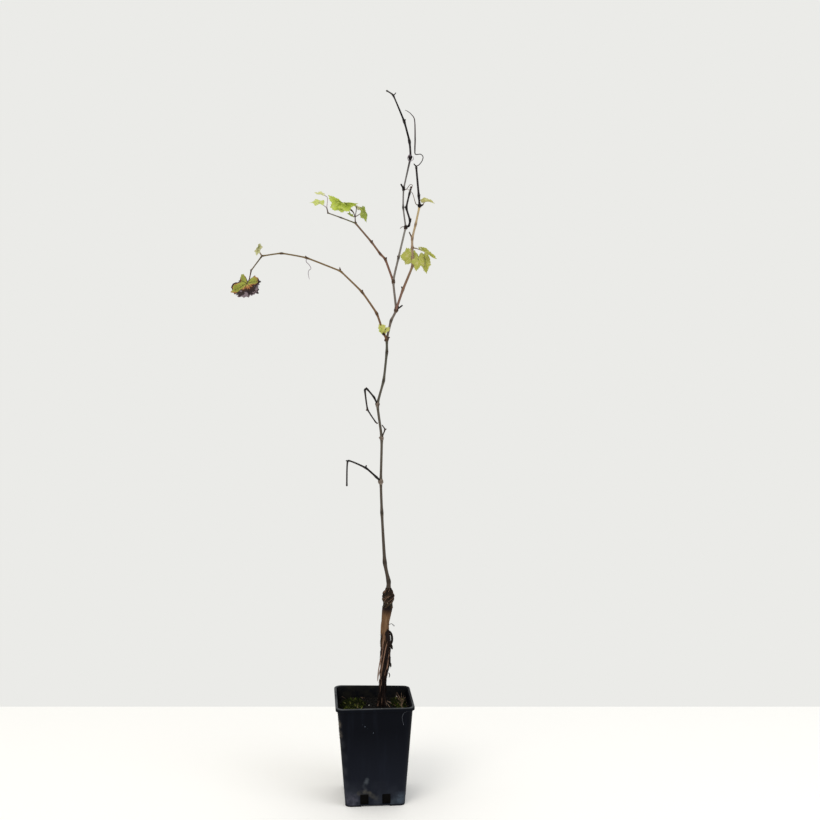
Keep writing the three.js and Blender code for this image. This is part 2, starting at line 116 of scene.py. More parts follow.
# Marks on the pot's front and corner, a painted highlight down its left corner, and painted light inside
# its back: middle, reach, tint.
POT_MARKS_AND_PAINTED_LIGHT = [
    ((-16, -61, 55), 5, "3c4147"), ((-18, -61, 49), 6, "44494f"), ((-21, -61, 42), 6, "35393f"),
    ((-19, -61, 35), 5, "303339"), ((-29, -60, 27), 8, "403e3b"),
    ((-20, -60, 29), 7, "4a4843"), ((-12, -60, 26), 7, "46443f"), ((-5, -60, 21), 7, "3a3937"),
    ((3, -59, 17), 8, "333436"), ((-46, -59, 12), 20, "454550"), ((-53, -58, 24), 12, "32333d"),
    ((48, -59, 14), 17, "3f4954"), ((33, -59, 8), 10, "343a42"), ((-71, -62, 166), 11, "5c554c"),
    ((-70, -62, 146), 11, "4a4540"), ((-67, -65, 128), 13, "26282e"), ((-65, -63, 100), 14, "26282e"),
    ((-63, -61, 72), 14, "292b31"), ((-61, -59, 46), 14, "2b2d34"), ((-44, 67, 184), 30, "1d1c18"),
    ((0, 67, 184), 30, "1d1c18"), ((46, 67, 184), 30, "1d1c18"),
]


def polypropylene(name, colour, haze, dust):
    """Recycled polypropylene, injection moulded: a low satin sheen on a fine spark-eroded grain,
    with scuff marks, and dried limescale low on the walls. A painted highlight runs along the
    rim's top edge and down the left corner, painted light lies inside the back, and a painted
    contact shadow darkens the foot."""
    material, tree, shader = start(name, 0.5, ior=1.49, Specular_IOR_Level=0.05)
    place = add(tree, "ShaderNodeTexCoord").outputs["Object"]
    height = add(tree, "ShaderNodeSeparateXYZ", {"Vector": place}).outputs["Z"]
    # Water runs down the walls in streaks about 11 mm apart.
    streaks = {"Vector": place, "Scale": (per(11.1), per(11.1), per(111))}
    down = add(tree, "ShaderNodeMapping", streaks).outputs[0]
    made = {"height": height}
    for key, vector, scale, detail, roughness in (
        ("cloudy", place, per(35.7), 5, 0.62),
        ("runs", down, 1, 4, 0.5),
        ("speckle", place, per(9.1), 5, 0.6),
        ("grain", place, per(0.667), 2, 0.5),
        ("waviness", place, per(45.5), 2, 0.5),
    ):
        pattern = {"Vector": vector, "Scale": scale, "Detail": detail, "Roughness": roughness}
        made[key] = add(tree, "ShaderNodeTexNoise", pattern).outputs["Fac"]
    # Each film, or band of painted light: what it follows, where it starts and is full, how thin and thick
    # it lies.
    for key, follows, low, high, thin, thick in (
        ("lower", "height", 150 * MM, 20 * MM, 0, 1),
        ("faint", "runs", 0.52, 0.85, 0, 0.3),
        ("low", "height", 55 * MM, 2 * MM, 0, 0.5),
        ("patches", "cloudy", 0.42, 0.68, 0, 1),
        ("powdery", "speckle", 0.36, 0.62, 0.15, 0.85),
        # a painted contact shadow near the ground:
        ("painted_contact_shadow", "height", 4.2 * MM, 1.5 * MM, 0, 1),
        # a painted highlight along the rim's top edge:
        ("painted_highlight_area", "height", 196.2 * MM, 197.8 * MM, 0, 0.62),
        ("broken", "cloudy", 0.36, 0.56, 0.35, 1),
    ):
        coat_span = {"Value": made[follows], "From Min": low, "From Max": high, "To Min": thin, "To Max": thick}
        made[key] = add(tree, "ShaderNodeMapRange", coat_span).outputs[0]
    for key, one, other in (("limescale", "low", "patches"), ("painted_rim_highlight", "painted_highlight_area", "broken")):
        pair = {0: made[one], 1: made[other]}
        made[key] = add(tree, "ShaderNodeMath", pair, operation="MULTIPLY").outputs[0]
    coats_and_painted_light = [(made["lower"], POT_FOOT), (made["faint"], haze), (made["limescale"], dust)]
    # The four pale bands down the left corner, from 128 mm down, are a painted highlight, and the three
    # marks inside the back are painted light.
    for centre, reach, tint in POT_MARKS_AND_PAINTED_LIGHT:
        ends = {0: place, 1: [v * MM for v in centre]}
        off = add(tree, "ShaderNodeVectorMath", ends, operation="DISTANCE").outputs["Value"]
        fade = {"Value": off, "From Min": reach * MM, "From Max": reach * MM * 0.4}
        pair = {0: add(tree, "ShaderNodeMapRange", fade).outputs[0], 1: made["powdery"]}
        coats_and_painted_light.append((add(tree, "ShaderNodeMath", pair, operation="MULTIPLY").outputs[0], tint))
    # A painted contact shadow, near black, on the lowest 4 mm, and a painted highlight along the rim's top
    # edge.
    coats_and_painted_light += [(made["painted_contact_shadow"], "030304"), (made["painted_rim_highlight"], "5d6063")]
    rough = {0: made["waviness"], 1: 6.0, 2: made["grain"]}
    relief = add(tree, "ShaderNodeMath", rough, operation="MULTIPLY_ADD").outputs[0]
    cover(tree, shader, coats(tree, colour, coats_and_painted_light), relief, 0.2, 0.5)
    return material


def crumbly(name, dark, light, roughness=0.95, grit=3.85):
    """A mineral or peaty crumb: matt, mottled, with no gloss at all."""
    material, tree, shader = start(name, roughness, Specular_IOR_Level=0.1)
    place = add(tree, "ShaderNodeTexCoord").outputs["Object"]
    pattern = {"Vector": place, "Scale": per(grit), "Detail": 4.0, "Roughness": 0.6}
    mottle = add(tree, "ShaderNodeTexNoise", pattern).outputs["Fac"]
    share = add(tree, "ShaderNodeMapRange", {"Value": mottle, "From Min": 0.36, "From Max": 0.66})
    cover(tree, shader, coats(tree, dark, [(share.outputs[0], light)]), mottle, 0.6, 0.8)
    return material


def split_bark(name, crevice, body, crest, roughness=0.9, damp=None):
    """Stringy old vine bark: dark in the splits, weathered paler on the crests.
    The relief attribute is 0 in a split and 1 on a crest. Damp is the body's
    colour lower down, where the wood stays moist."""
    material, tree, shader = start(name, roughness, Specular_IOR_Level=0.15)
    made = {
        key: add(tree, "ShaderNodeAttribute", attribute_name=key).outputs[socket]
        for key, socket in (("relief", "Fac"), ("along", "Fac"), ("grain", "Vector"))
    }
    # The grain attribute is in mm, so these fibres are about 0.3 mm wide.
    pattern = {"Vector": made["grain"], "Scale": 3.2, "Detail": 6.0, "Roughness": 0.68}
    made["fibres"] = add(tree, "ShaderNodeTexNoise", pattern).outputs["Fac"]
    raised = {0: made["fibres"], 1: 0.9, 2: made["relief"]}
    made["spread"] = add(tree, "ShaderNodeMath", raised, operation="MULTIPLY_ADD").outputs[0]
    # Each part of the bark: what it follows, and where it starts and is full.
    parts = [("lower", "relief", 0.08, 0.5), ("upper", "spread", 0.98, 1.34)]
    if damp:
        parts += [("drier", "along", 0.58, 0.74), ("neck", "along", 0.985, 0.91)]
    for key, follows, low, high in parts:
        span = {"Value": made[follows], "From Min": low, "From Max": high}
        made[key] = add(tree, "ShaderNodeMapRange", span).outputs[0]
    if damp:
        ragged = {0: made["fibres"], 1: -1.4, 2: 1.7}
        made["frayed"] = add(tree, "ShaderNodeMath", ragged, operation="MULTIPLY_ADD").outputs[0]
        dry = made["drier"]
        for key in ("neck", "frayed"):
            pair = {0: dry, 1: made[key]}
            dry = add(tree, "ShaderNodeMath", pair, operation="MULTIPLY", use_clamp=True).outputs[0]
        body, crest = coats(tree, damp, [(dry, body)]), coats(tree, "2c1b16", [(dry, crest)])
        crevice = coats(tree, crevice, [(dry, "2a1a10")])
    colour = coats(tree, crevice, [(made["lower"], body), (made["upper"], crest)])
    cover(tree, shader, colour, made["fibres"], 0.5, 0.9)
    return material


def cane_bark(name, shades, streak, roughness=0.62):
    """Young vine wood: fine lengthwise striping on a waxy skin. Its shades run
    from the limb's foot to its tip, and each joint is darker."""
    material, tree, shader = start(name, roughness, ior=1.46, Specular_IOR_Level=0.2)
    made = {
        key: add(tree, "ShaderNodeAttribute", attribute_name=key).outputs[socket]
        for key, socket in (("along", "Fac"), ("joint", "Fac"), ("grain", "Vector"))
    }
    # The grain attribute is in mm, so these stripes are about 0.25 mm wide.
    pattern = {"Vector": made["grain"], "Scale": 4.0, "Detail": 5.0, "Roughness": 0.6}
    made["stripes"] = add(tree, "ShaderNodeTexNoise", pattern).outputs["Fac"]
    parts = len(shades) - 1
    steps = [("along", part / parts, (part + 1) / parts, 1, shades[part + 1]) for part in range(parts)]
    steps += [("stripes", 0.46, 0.7, 0.75, streak), ("joint", 0.25, 1.0, 0.8, streak)]
    layers = []
    for follows, low, high, thick, shade in steps:
        span = {"Value": made[follows], "From Min": low, "From Max": high, "To Max": thick}
        layers.append((add(tree, "ShaderNodeMapRange", span).outputs[0], shade))
    cover(tree, shader, coats(tree, shades[0], layers), made["stripes"], 0.25, 0.7)
    return material


def leaf_skin(name, colour, roughness=0.55):
    """A thin vine leaf: a soft wax gloss over fine pores."""
    material, tree, shader = start(name, roughness, ior=1.42, Specular_IOR_Level=0.35)
    shader.inputs["Base Color"].default_value = linear(colour)
    place = add(tree, "ShaderNodeTexCoord").outputs["Object"]
    pattern = {"Vector": place, "Scale": per(2.38), "Detail": 3.0}
    pores = add(tree, "ShaderNodeTexNoise", pattern).outputs["Fac"]
    bump = add(tree, "ShaderNodeBump", {"Height": pores, "Distance": 0.4 * MM, "Strength": 0.5})
    tree.links.new(bump.outputs[0], shader.inputs["Normal"])
    return material


# ------------------------------------------------------------------ shaping

LATTICE = np.random.default_rng(5).random((32, 32, 32))


def lumps(x, y, z):
    """Smooth noise from -1 to 1 whose lumps are about one unit across."""
    place = np.stack(np.broadcast_arrays(x, y, z)).astype(float)
    cell = np.floor(place).astype(int)
    part = place - cell
    part = part * part * (3 - 2 * part)
    total = 0.0
    for corner in range(8):
        step = [corner & 1, corner >> 1 & 1, corner >> 2 & 1]
        share = 1.0
        for axis in range(3):
            share = share * (part[axis] if step[axis] else 1 - part[axis])
        total = total + share * LATTICE[tuple((cell[axis] + step[axis]) & 31 for axis in range(3))]
    return total * 2 - 1


def smooth(x, low, high):
    """An even step from 0 at low to 1 at high, level at both ends."""
    part = np.clip((x - low) / (high - low), 0, 1)
    return part * part * (3 - 2 * part)


def dress(piece, slot, *nodes):
    """Gives a piece its body and hides the solids it stands for. Its material slot is not used."""
    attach(piece, "root")
    if nodes:
        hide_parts(*nodes)
    return piece


def edit(*steps):
    """Runs edit-mode steps on the active object, with all of it selected."""
    bpy.ops.object.mode_set(mode="EDIT")
    bpy.ops.mesh.select_all(action="SELECT")
    for step in steps:
        step()
    bpy.ops.object.mode_set(mode="OBJECT")


def finished(name, materials):
    """Names the active object, gives it its materials and lets it go."""
    piece = bpy.context.object
    piece.name = name
    piece.data.name = name
    for material in materials:
        piece.data.materials.append(material)
    bpy.ops.object.select_all(action="DESELECT")
    return piece


def join(name, pieces):
    """Joins pieces of one kind into one mesh."""
    bpy.ops.object.select_all(action="DESELECT")
    for piece in pieces:
        piece.select_set(True)
    bpy.context.view_layer.objects.active = pieces[0]
    if len(pieces) > 1:
        bpy.ops.object.join()
    whole = bpy.context.object
    whole.name = name
    whole.data.name = name
    bpy.ops.object.select_all(action="DESELECT")
    return whole


def heading(lean, back):
    """The direction that leans and turns back by those degrees."""
    a, b = math.radians(lean), math.radians(back)
    return np.array([math.sin(a) * math.cos(b), math.sin(b), math.cos(a) * math.cos(b)])


def joints(foot, internodes):
    """The joints of a chain of internodes that starts at a point."""
    points = [np.array(foot, float)]
    for length, lean, back in internodes:
        points.append(points[-1] + length * heading(lean, back))
    return points


class Course:
    """The smooth course of a limb through its joints, measured by length."""

    def __init__(self, points, tension=0.2):
        p = [2 * points[0] - points[1], *points, 2 * points[-1] - points[-2]]
        t = np.linspace(0, 1, 33)[:, None]
        runs = []
        for a, b, c, d in zip(p, p[1:], p[2:], p[3:]):
            leave, arrive = (c - a) * tension, (d - b) * tension
            runs.append(
                b * (2 * t**3 - 3 * t**2 + 1) + leave * (t**3 - 2 * t**2 + t)
                + c * (3 * t**2 - 2 * t**3) + arrive * (t**3 - t**2)
            )
        self.points = np.concatenate([run[:-1] for run in runs] + [runs[-1][-1:]])
        steps = np.linalg.norm(np.diff(self.points, axis=0), axis=1)
        self.travelled = np.concatenate([[0], np.cumsum(steps)])
        self.length = self.travelled[-1]
        self.joints = self.travelled[::32]

    def at(self, s):
        """Points along the course, by the length travelled."""
        return np.stack([np.interp(s, self.travelled, self.points[:, k]) for k in range(3)], -1)

    def frames(self, s, face=(0, -1, 0)):
        """Centres, and the directions at angle 0 (the face) and 90 degrees."""
        centre = self.at(s)
        near = max(self.length * 0.004, 0.15)
        ahead = self.at(np.minimum(s + near, self.length)) - self.at(np.maximum(s - near, 0))
        ahead /= np.linalg.norm(ahead, axis=1)[:, None]
        front = np.broadcast_to(np.array(face, float), ahead.shape)
        front = front - (front * ahead).sum(1)[:, None] * ahead
        front /= np.linalg.norm(front, axis=1)[:, None]
        return centre, front, np.cross(ahead, front)


def wind(name, course, reach, around, step, material, face=(0, -1, 0), joint_length=6.0, relief=None):
    """Winds a grid round a course: reach(s, angle) is its radius in mm. Both
    ends close in a point, so the skin is one closed body. Its attributes are
    what the barks read: relief, along, joint and grain."""
    count = max(3, round(course.length / step))
    s = np.linspace(0, course.length, count + 1)
    s = np.concatenate([s[:1], s, s[-1:]])
    angle = np.linspace(0, 2 * math.pi, around + 1)
    radius = reach(s[:, None], angle[None, :]) * np.ones((len(s), around + 1))
    radius[0] = radius[-1] = 0
    radius[:, -1] = radius[:, 0]
    centre, front, side = course.frames(s, face)
    out = np.cos(angle)[None, :, None] * front[:, None] + np.sin(angle)[None, :, None] * side[:, None]
    place = centre[:, None] + radius[..., None] * out

    bpy.ops.mesh.primitive_grid_add(x_subdivisions=around, y_subdivisions=len(s) - 1, size=1)
    mesh = bpy.context.object.data
    mesh.vertices.foreach_set("co", (place * MM).reshape(-1))
    inner = course.joints[1:-1]
    off_joint = np.min(np.abs(s[:, None] - inner), axis=1) if len(inner) else np.full(len(s), np.inf)
    everywhere = np.ones_like(radius)
    values = {
        "relief": (relief(s[:, None], angle[None, :]) if relief else 0.5) * everywhere,
        "along": (s / course.length)[:, None] * everywhere,
        "joint": np.exp(-((off_joint / joint_length) ** 2))[:, None] * everywhere,
    }
    for key, value in values.items():
        mesh.attributes.new(key, "FLOAT", "POINT").data.foreach_set("value", value.reshape(-1))
    girth = float(np.mean(radius[1:-1]))
    drawn_out = 0.06  # the fibres are that much finer across the limb than along it
    grain = np.stack([np.cos(angle)[None] * girth * everywhere, np.sin(angle)[None] * girth * everywhere,
                      s[:, None] * drawn_out * everywhere], -1)
    mesh.attributes.new("grain", "FLOAT_VECTOR", "POINT").data.foreach_set("vector", grain.reshape(-1))
    edit(
        lambda: bpy.ops.mesh.remove_doubles(threshold=1e-6),
        lambda: bpy.ops.mesh.normals_make_consistent(inside=False),
    )
    bpy.ops.object.shade_smooth()
    return finished(name, [material])


def tapered(radii, course, knot=0.3, tip=0.0, ribbed=0.03):
    """The plain radius of a limb: even taper, a swelling at each joint, faint
    ribs, and a rounded tip."""
    knot_reach = max(2.2 * max(radii), 4.2)
    stations = np.linspace(0, course.length, len(radii))

    def reach(s, angle):
        radius = np.interp(s, stations, radii)
        nearest = np.min(np.abs(s[..., None] - course.joints), axis=-1)
        radius = radius * (1 + knot * np.exp(-((nearest / knot_reach) ** 2)))
        ribs = lumps(np.cos(angle) * 2.4, np.sin(angle) * 2.4, s / 30) * ribbed
        if tip:
            left = np.clip((course.length - s) / tip, 0, 1)
            radius = radius * np.sqrt(np.clip(1 - (1 - left) ** 2, 0.02, 1))
        return radius * (1 + ribs)

    return reach


# --------------------------------------------------------- materials in use

pot_plastic = polypropylene("moulded_polypropylene", "05070e", "1c212c", "3c4048")
peat = crumbly("moist_peat_compost", "020101", "0b0806")
perlite = crumbly("expanded_perlite", "a9a59b", "dedbd2", grit=1.43)
lichen = crumbly("crustose_lichen", "6f6a5a", "a49c86", grit=1.43)
chalk = crumbly("chalky_grit", "4e5763", "76818f", grit=1.43)
moss_tones = [
    crumbly("cushion_moss_olive", "0c1004", "242c0b", 0.85, 2),
    crumbly("cushion_moss_green", "262e0a", "515c1b", 0.8, 2),
    crumbly("cushion_moss_straw", "4d4f20", "8b8b48", 0.8, 2),
]
straw = crumbly("dry_grass_straw", "5c4636", "a88d78", 0.8, 3.33)
old_bark = split_bark("split_vine_bark", "080505", "5c412a", "7c634b", damp="190e0c")
callus = split_bark("graft_callus_bark", "060404", "17100b", "3c2d20")
bast = split_bark("peeling_bast_fibre", "2b1d17", "755a4a", "a88f7c", 0.85)
dark_bast = split_bark("peeling_bast_dark", "080504", "170e0c", "2b1d17", 0.9)

# Each limb's shades from its foot to its tip, and the streaks of its bark.
WOOD = {
    "main_stem_lower": (("40372f", "4d453d", "575148", "4a4a40"), "2b251e"),
    "main_stem_middle": (("6a5d55", "827e79"), "3a332c"),
    "main_stem_upper": (
        ("7e7a77", "6d6967", "6e6a68", "2c2728", "120f10", "151213", "45423e"), "1b1716"),
    "left_shoot_rising": (("6b4c36", "7a6343"), "43301f"),
    "left_shoot_level": (("7a6343", "6a5c3c"), "3b2a1e"),
    "left_shoot_drooping": (("4e4532", "6b5e48"), "33261c"),
    "upper_left_shoot": (("7a5646", "69543f"), "3d2a1f"),
    "upper_left_twig": (("5e5d3c", "6b6252"), "2c2018"),
    "right_shoot": (("70504a", "745b47", "a18c74", "b4a176"), "6d5644"),
    "right_shoot_spur": (("6d5540", "3c2c22"), "2c2018"),
    "right_dead_cane": (("1f1819", "241e1e"), "100c0d"),
    "dead_twig_low": (("191413", "2a2522"), "0e0b0b"),
    "dead_twig_stub": (("3a302b", "4a423c"), "221c1a"),
    "dead_twig_looped": (("221c1a", "34302c"), "141110"),
    "dead_twig_upper": (("221b1b", "2e2828"), "130f0f"),
}
TENDRIL_SKIN = {
    "dried": cane_bark("dried_tendril", ("6b5c4c", "8a7d70"), "4a3d33", 0.7),
    "dead": cane_bark("dead_tendril", ("332a29", "4a3a3b"), "241d1d", 0.8),
    "lilac": cane_bark("dried_tendril_lilac", ("8d8089", "a9a0a9"), "6a5d66", 0.75),
}
hair_root = cane_bark("dry_hair_root", ("6a6d75", "7d818b"), "44474e", 0.8)
bud_scales = cane_bark("bud_scale", ("4a3024", "6f4a3a"), "2d1c15", 0.6)

LEAF = {
    "pale": leaf_skin("vine_leaf_pale", "c2c587"),
    "butter": leaf_skin("vine_leaf_unfolding", "b6b562"),
    "lime": leaf_skin("vine_leaf_lime", "b7c06a"),
    "fresh": leaf_skin("vine_leaf_fresh", "adbc4a"),
    "olive": leaf_skin("vine_leaf_olive", "a0a24a"),
    "straw": leaf_skin("vine_leaf_straw", "b0ab6c"),
    "wan": leaf_skin("vine_leaf_wan", "aba87e"),
    "deep": leaf_skin("vine_leaf_deep", "8a9843"),
    "shade": leaf_skin("vine_leaf_shaded", "66702f"),
    "vein": leaf_skin("vine_leaf_vein", "bfc383"),
    "moss": leaf_skin("withered_leaf_green", "90953c", 0.6),
    "amber": leaf_skin("withered_leaf_amber", "a8874a", 0.65),
    "rust": leaf_skin("withered_leaf_rust", "96623a", 0.7),
    "umber": leaf_skin("withered_leaf_umber", "3a2318", 0.75),
    "plum": leaf_skin("withered_leaf_plum", "2b1f22", 0.7),
    # a pale lavender grey, painted on as highlights on the dead part of the leaf
    "painted_lavender_sheen": leaf_skin("withered_leaf_painted_highlight", "75676c", 0.7),
    "stalk": leaf_skin("leaf_stalk", "77634a"),
    "stalk_dark": leaf_skin("leaf_stalk_dark", "4f3c34"),
    "stalk_pale": leaf_skin("leaf_stalk_pale", "a3949a"),
}


# ------------------------------------------------------------------- the pot

pot_low, pot_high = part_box("pot")
RIM = round((pot_high[0] - pot_low[0]) / MM, 1)  # width over the rolled rim
HEIGHT = round(pot_high[2] / MM, 1)
BASE = 114.5  # width at the underside
WALL = 1.6
LIP = 3  # how far the rim stands out
CORNER = 14  # corner radius at the rim
FLOOR = 3  # height of the floor's underside
DRAIN_WIDTH, DRAIN_LOW, DRAIN_HIGH, DRAIN_OFFSET = 16, 4, 25, 21  # two holes in each side
FOOT, ARCH_WIDTH, ARCH_HEIGHT = 8, 56, 2.5  # corner feet, and the arch between them
RIM_SAG = 4  # the thin rim has sunk at its back right corner
SLOPE = (RIM / 2 - LIP - BASE / 2) / HEIGHT


def outer(height):
    """Half the pot's width at a height, without the lip."""
    return BASE / 2 + SLOPE * height


def block(width, depth, tall, x, y, z, turn=0.0, soften=0.0):
    """A block with softened edges, to cut with or to join."""
    bpy.ops.mesh.primitive_cube_add(size=1, location=(x * MM, y * MM, z * MM), rotation=(0, 0, turn))
    piece = bpy.context.object
    piece.scale = (width * MM, depth * MM, tall * MM)
    bpy.ops.object.transform_apply(location=True, rotation=True, scale=True)
    if soften:
        edit(lambda: bpy.ops.mesh.bevel(offset=soften * MM, segments=3, affect="EDGES"))
    bpy.ops.object.select_all(action="DESELECT")
    return piece


def combine(piece, tools, operation):
    """Cuts with the tools, or joins them on, and clears them away."""
    tool = join("tool", tools)
    bpy.context.view_layer.objects.active = piece
    piece.select_set(True)
    modifier = piece.modifiers.new("combine", "BOOLEAN")
    modifier.operation, modifier.object, modifier.solver = operation, tool, "EXACT"
    modifier.use_self = True
    bpy.ops.object.modifier_apply(modifier=modifier.name)
    bpy.data.objects.remove(tool, do_unlink=True)
    bpy.ops.object.select_all(action="DESELECT")


def make_pot():
    """The wall is one outline, drawn up step by step: foot, wall, rolled lip,
    inner wall and floor. A step is half the width, and the height."""
    half_rim = RIM / 2
    steps = [(outer(0) - FOOT, 0.5), (outer(0) - FOOT + 0.6, 0), (outer(0) - 0.9, 0)]
    steps += [(outer(tall), tall) for tall in (0.8, 2.4, 24, 100, HEIGHT - 12, HEIGHT - 8)]
    steps += [
        (outer(HEIGHT - 7.4) + 0.8, HEIGHT - 7.4), (half_rim - 0.7, HEIGHT - 7.1),
        (half_rim, HEIGHT - 6.4), (half_rim, HEIGHT - 1.7), (half_rim - 0.35, HEIGHT - 0.7),
        (half_rim - 1.1, HEIGHT - 0.15), (half_rim - 2.2, HEIGHT),
        (outer(HEIGHT) - 0.4, HEIGHT - 0.1), (outer(HEIGHT) - 1.1, HEIGHT - 0.6),
    ]
    steps += [(outer(tall) - WALL, tall) for tall in (HEIGHT - 2, HEIGHT - 12, 100, 8)]
    steps += [(outer(5.5) - WALL - 1, FLOOR + 2)]
    half, height = outer(0) - FOOT, FLOOR
    bpy.ops.mesh.primitive_plane_add(size=2 * half * MM, location=(0, 0, height * MM))
    bpy.ops.object.transform_apply(location=True, rotation=True, scale=True)
    rounding = CORNER * half / half_rim * MM
    edit(
        lambda: bpy.ops.mesh.bevel(offset=rounding, segments=9, affect="VERTICES"),
        lambda: bpy.ops.mesh.select_mode(type="EDGE"),
        lambda: bpy.ops.mesh.select_all(action="SELECT"),
        lambda: bpy.ops.mesh.delete(type="ONLY_FACE"),
    )
    bpy.ops.object.mode_set(mode="EDIT")
    bpy.ops.mesh.select_all(action="SELECT")
    for wide, tall in steps:
        rise = (0, 0, (tall - height) * MM)
        bpy.ops.mesh.extrude_edges_move(TRANSFORM_OT_translate={"value": rise})
        bpy.ops.transform.resize(value=(wide / half, wide / half, 1), center_override=(0, 0, 0))
        half, height = wide, tall
    bpy.ops.mesh.edge_face_add()
    bpy.ops.mesh.select_all(action="SELECT")
    bpy.ops.mesh.fill_holes(sides=0)
    bpy.ops.mesh.select_all(action="SELECT")
    bpy.ops.mesh.normals_make_consistent(inside=False)
    bpy.ops.object.mode_set(mode="OBJECT")
    pot = bpy.context.object

    # Two ribs cross under the floor, level with the corner feet.
    reach = (outer(0) - FOOT) * math.sqrt(2) * 2 - CORNER
    ribs = [block(reach, FOOT, 4, 0, 0, 2, turn) for turn in (math.pi / 4, -math.pi / 4)]
    combine(pot, ribs, "UNION")
    cutters = []
    drain = (2 * FOOT, DRAIN_WIDTH, DRAIN_HIGH - DRAIN_LOW)
    arch = (2 * FOOT, ARCH_WIDTH, 2 * ARCH_HEIGHT)
    for side in range(4):
        turn = side * math.pi / 2
        c, s = math.cos(turn), math.sin(turn)
        for size, out, across, height, soften in (
            (drain, outer(0), -DRAIN_OFFSET, (DRAIN_HIGH + DRAIN_LOW) / 2, 1.6),
            (drain, outer(0), DRAIN_OFFSET, (DRAIN_HIGH + DRAIN_LOW) / 2, 1.6),
            (arch, outer(0) - FOOT / 2, 0, 0, 0.8),
        ):
            x, y = out * c - across * s, out * s + across * c
            cutters.append(block(*size, x, y, height, turn, soften))
    combine(pot, cutters, "DIFFERENCE")
    bpy.context.view_layer.objects.active = pot
    pot.select_set(True)
    softened = pot.modifiers.new("soft_edges", "BEVEL")
    softened.width, softened.segments = 0.25 * MM, 2
    softened.limit_method, softened.angle_limit = "ANGLE", math.radians(40)
    bpy.ops.object.modifier_apply(modifier=softened.name)
    bpy.ops.object.shade_smooth_by_angle(angle=math.radians(32))
    place = np.empty(len(pot.data.vertices) * 3)
    pot.data.vertices.foreach_get("co", place)
    place = place.reshape(-1, 3)
    sag = RIM_SAG * MM
    spans = ((-half_rim, half_rim), (-half_rim, half_rim), (0.6 * HEIGHT, HEIGHT))
    for axis, (low, high) in enumerate(spans):
        sag = sag * smooth(place[:, axis], low * MM, high * MM)
    place[:, 2] -= sag
    pot.data.vertices.foreach_set("co", place.reshape(-1))
    return dress(finished("nursery_pot", [pot_plastic]), "pot", "pot")


make_pot()


# ------------------------------------------------------- compost, moss and litter

SOIL_LOW = 5.3  # the underside, just above the pot's floor
SOIL_REACH = 68  # half the width along the wall
# The compost's slope: distance from the middle, height.
SOIL_SLOPE = [(0, 180), (30, 180), (54, 178), (68.5, 174)]
# Cushions of moss: middle x and y, half width, half depth, height.
MOSS = [(-40, 8, 24, 32, 7), (-48, -24, 14, 18, 4.5), (51, 6, 16, 32, 6)]
MOSS_SHOOTS, CRUMBS, PERLITE, GRASS, SCRAPS = 3600, 950, 16, 15, 22
OPEN_PERLITE = [(33, 17), (-8, 5), (18, -6), (21, 3), (25, 8), (-9, 1)]  # grains in plain view
# Long straws: x and y at each end, and how far they rise.
STRAWS = [(24, 14, 33, -22, 2), (27, 20, 41, -14, 1), (-30, 6, -31, -26, -3)]
TRUNK_FOOT = (16, -1, 176)


def soil_height(x, y):
    """The compost's top: a slope down to the wall, crumbs, and the moss. It is
    smoother along the wall and round the trunk."""
    off = np.maximum(np.abs(x), np.abs(y))
    slope = np.interp(off, *zip(*SOIL_SLOPE))
    crumbs = 0.9 * lumps(x / 7, y / 7, 3.3) + 0.7 * lumps(x / 2.6, y / 2.6, 9.1)
    edge = smooth(SOIL_REACH - off, 0, 6)
    off_trunk = smooth(np.hypot(x - TRUNK_FOOT[0], y - TRUNK_FOOT[1]), 6, 16)
    return slope + crumbs * edge * (0.25 + 0.75 * off_trunk) - 0.8 + moss_height(x, y)


def moss_height(x, y):
    """How far the ragged cushions of moss stand above the compost."""
    top = 0
    for number, (centre_x, centre_y, half_x, half_y, tall) in enumerate(MOSS):
        far = ((x - centre_x) / half_x) ** 2 + ((y - centre_y) / half_y) ** 2
        ragged = 0.7 * lumps(x / 9, y / 9, number + 0.5) + 0.35 * lumps(x / 3.6, y / 3.6, 6.5)
        top = np.maximum(top, 0.62 * tall * np.clip(0.8 * (1 - far) + ragged, 0, 1))
    return top * smooth(SOIL_REACH - np.maximum(np.abs(x), np.abs(y)), 0, 5)


def make_soil():
    """A block of compost that fills the pot, with the wall's rounded corners."""
    cells, clear = 120, 0.3
    half_low, half_top = [outer(tall) - WALL - clear for tall in (SOIL_LOW, SOIL_SLOPE[-1][1])]
    bpy.ops.mesh.primitive_grid_add(x_subdivisions=cells, y_subdivisions=cells, size=2)
    edit(lambda: bpy.ops.mesh.extrude_region_move(TRANSFORM_OT_translate={"value": (0, 0, 1)}))
    mesh = bpy.context.object.data
    place = np.empty(len(mesh.vertices) * 3)
    mesh.vertices.foreach_get("co", place)
    x, y, z = place.reshape(-1, 3).T
    top = z > 0.5
    size = np.where(top, half_top, half_low)
    ring = np.maximum(np.abs(x), np.abs(y))
    bend = ring * CORNER / (RIM / 2)
    past_x, past_y = np.abs(x) - (ring - bend), np.abs(y) - (ring - bend)
    corner = (past_x > 0) & (past_y > 0)
    pull = np.where(corner, np.maximum(past_x, past_y) / np.maximum(np.hypot(past_x, past_y), 1e-9), 1)
    x = np.where(corner, np.sign(x) * (ring - bend + past_x * pull), x) * size
    y = np.where(corner, np.sign(y) * (ring - bend + past_y * pull), y) * size
    z = np.where(top, soil_height(x, y), SOIL_LOW)
    mesh.vertices.foreach_set("co", (np.stack([x, y, z], -1) * MM).reshape(-1))
    edit(lambda: bpy.ops.mesh.normals_make_consistent(inside=False))
    bpy.ops.object.shade_smooth()
    return dress(finished("potting_compost", [peat]), "soil", "potting_soil")


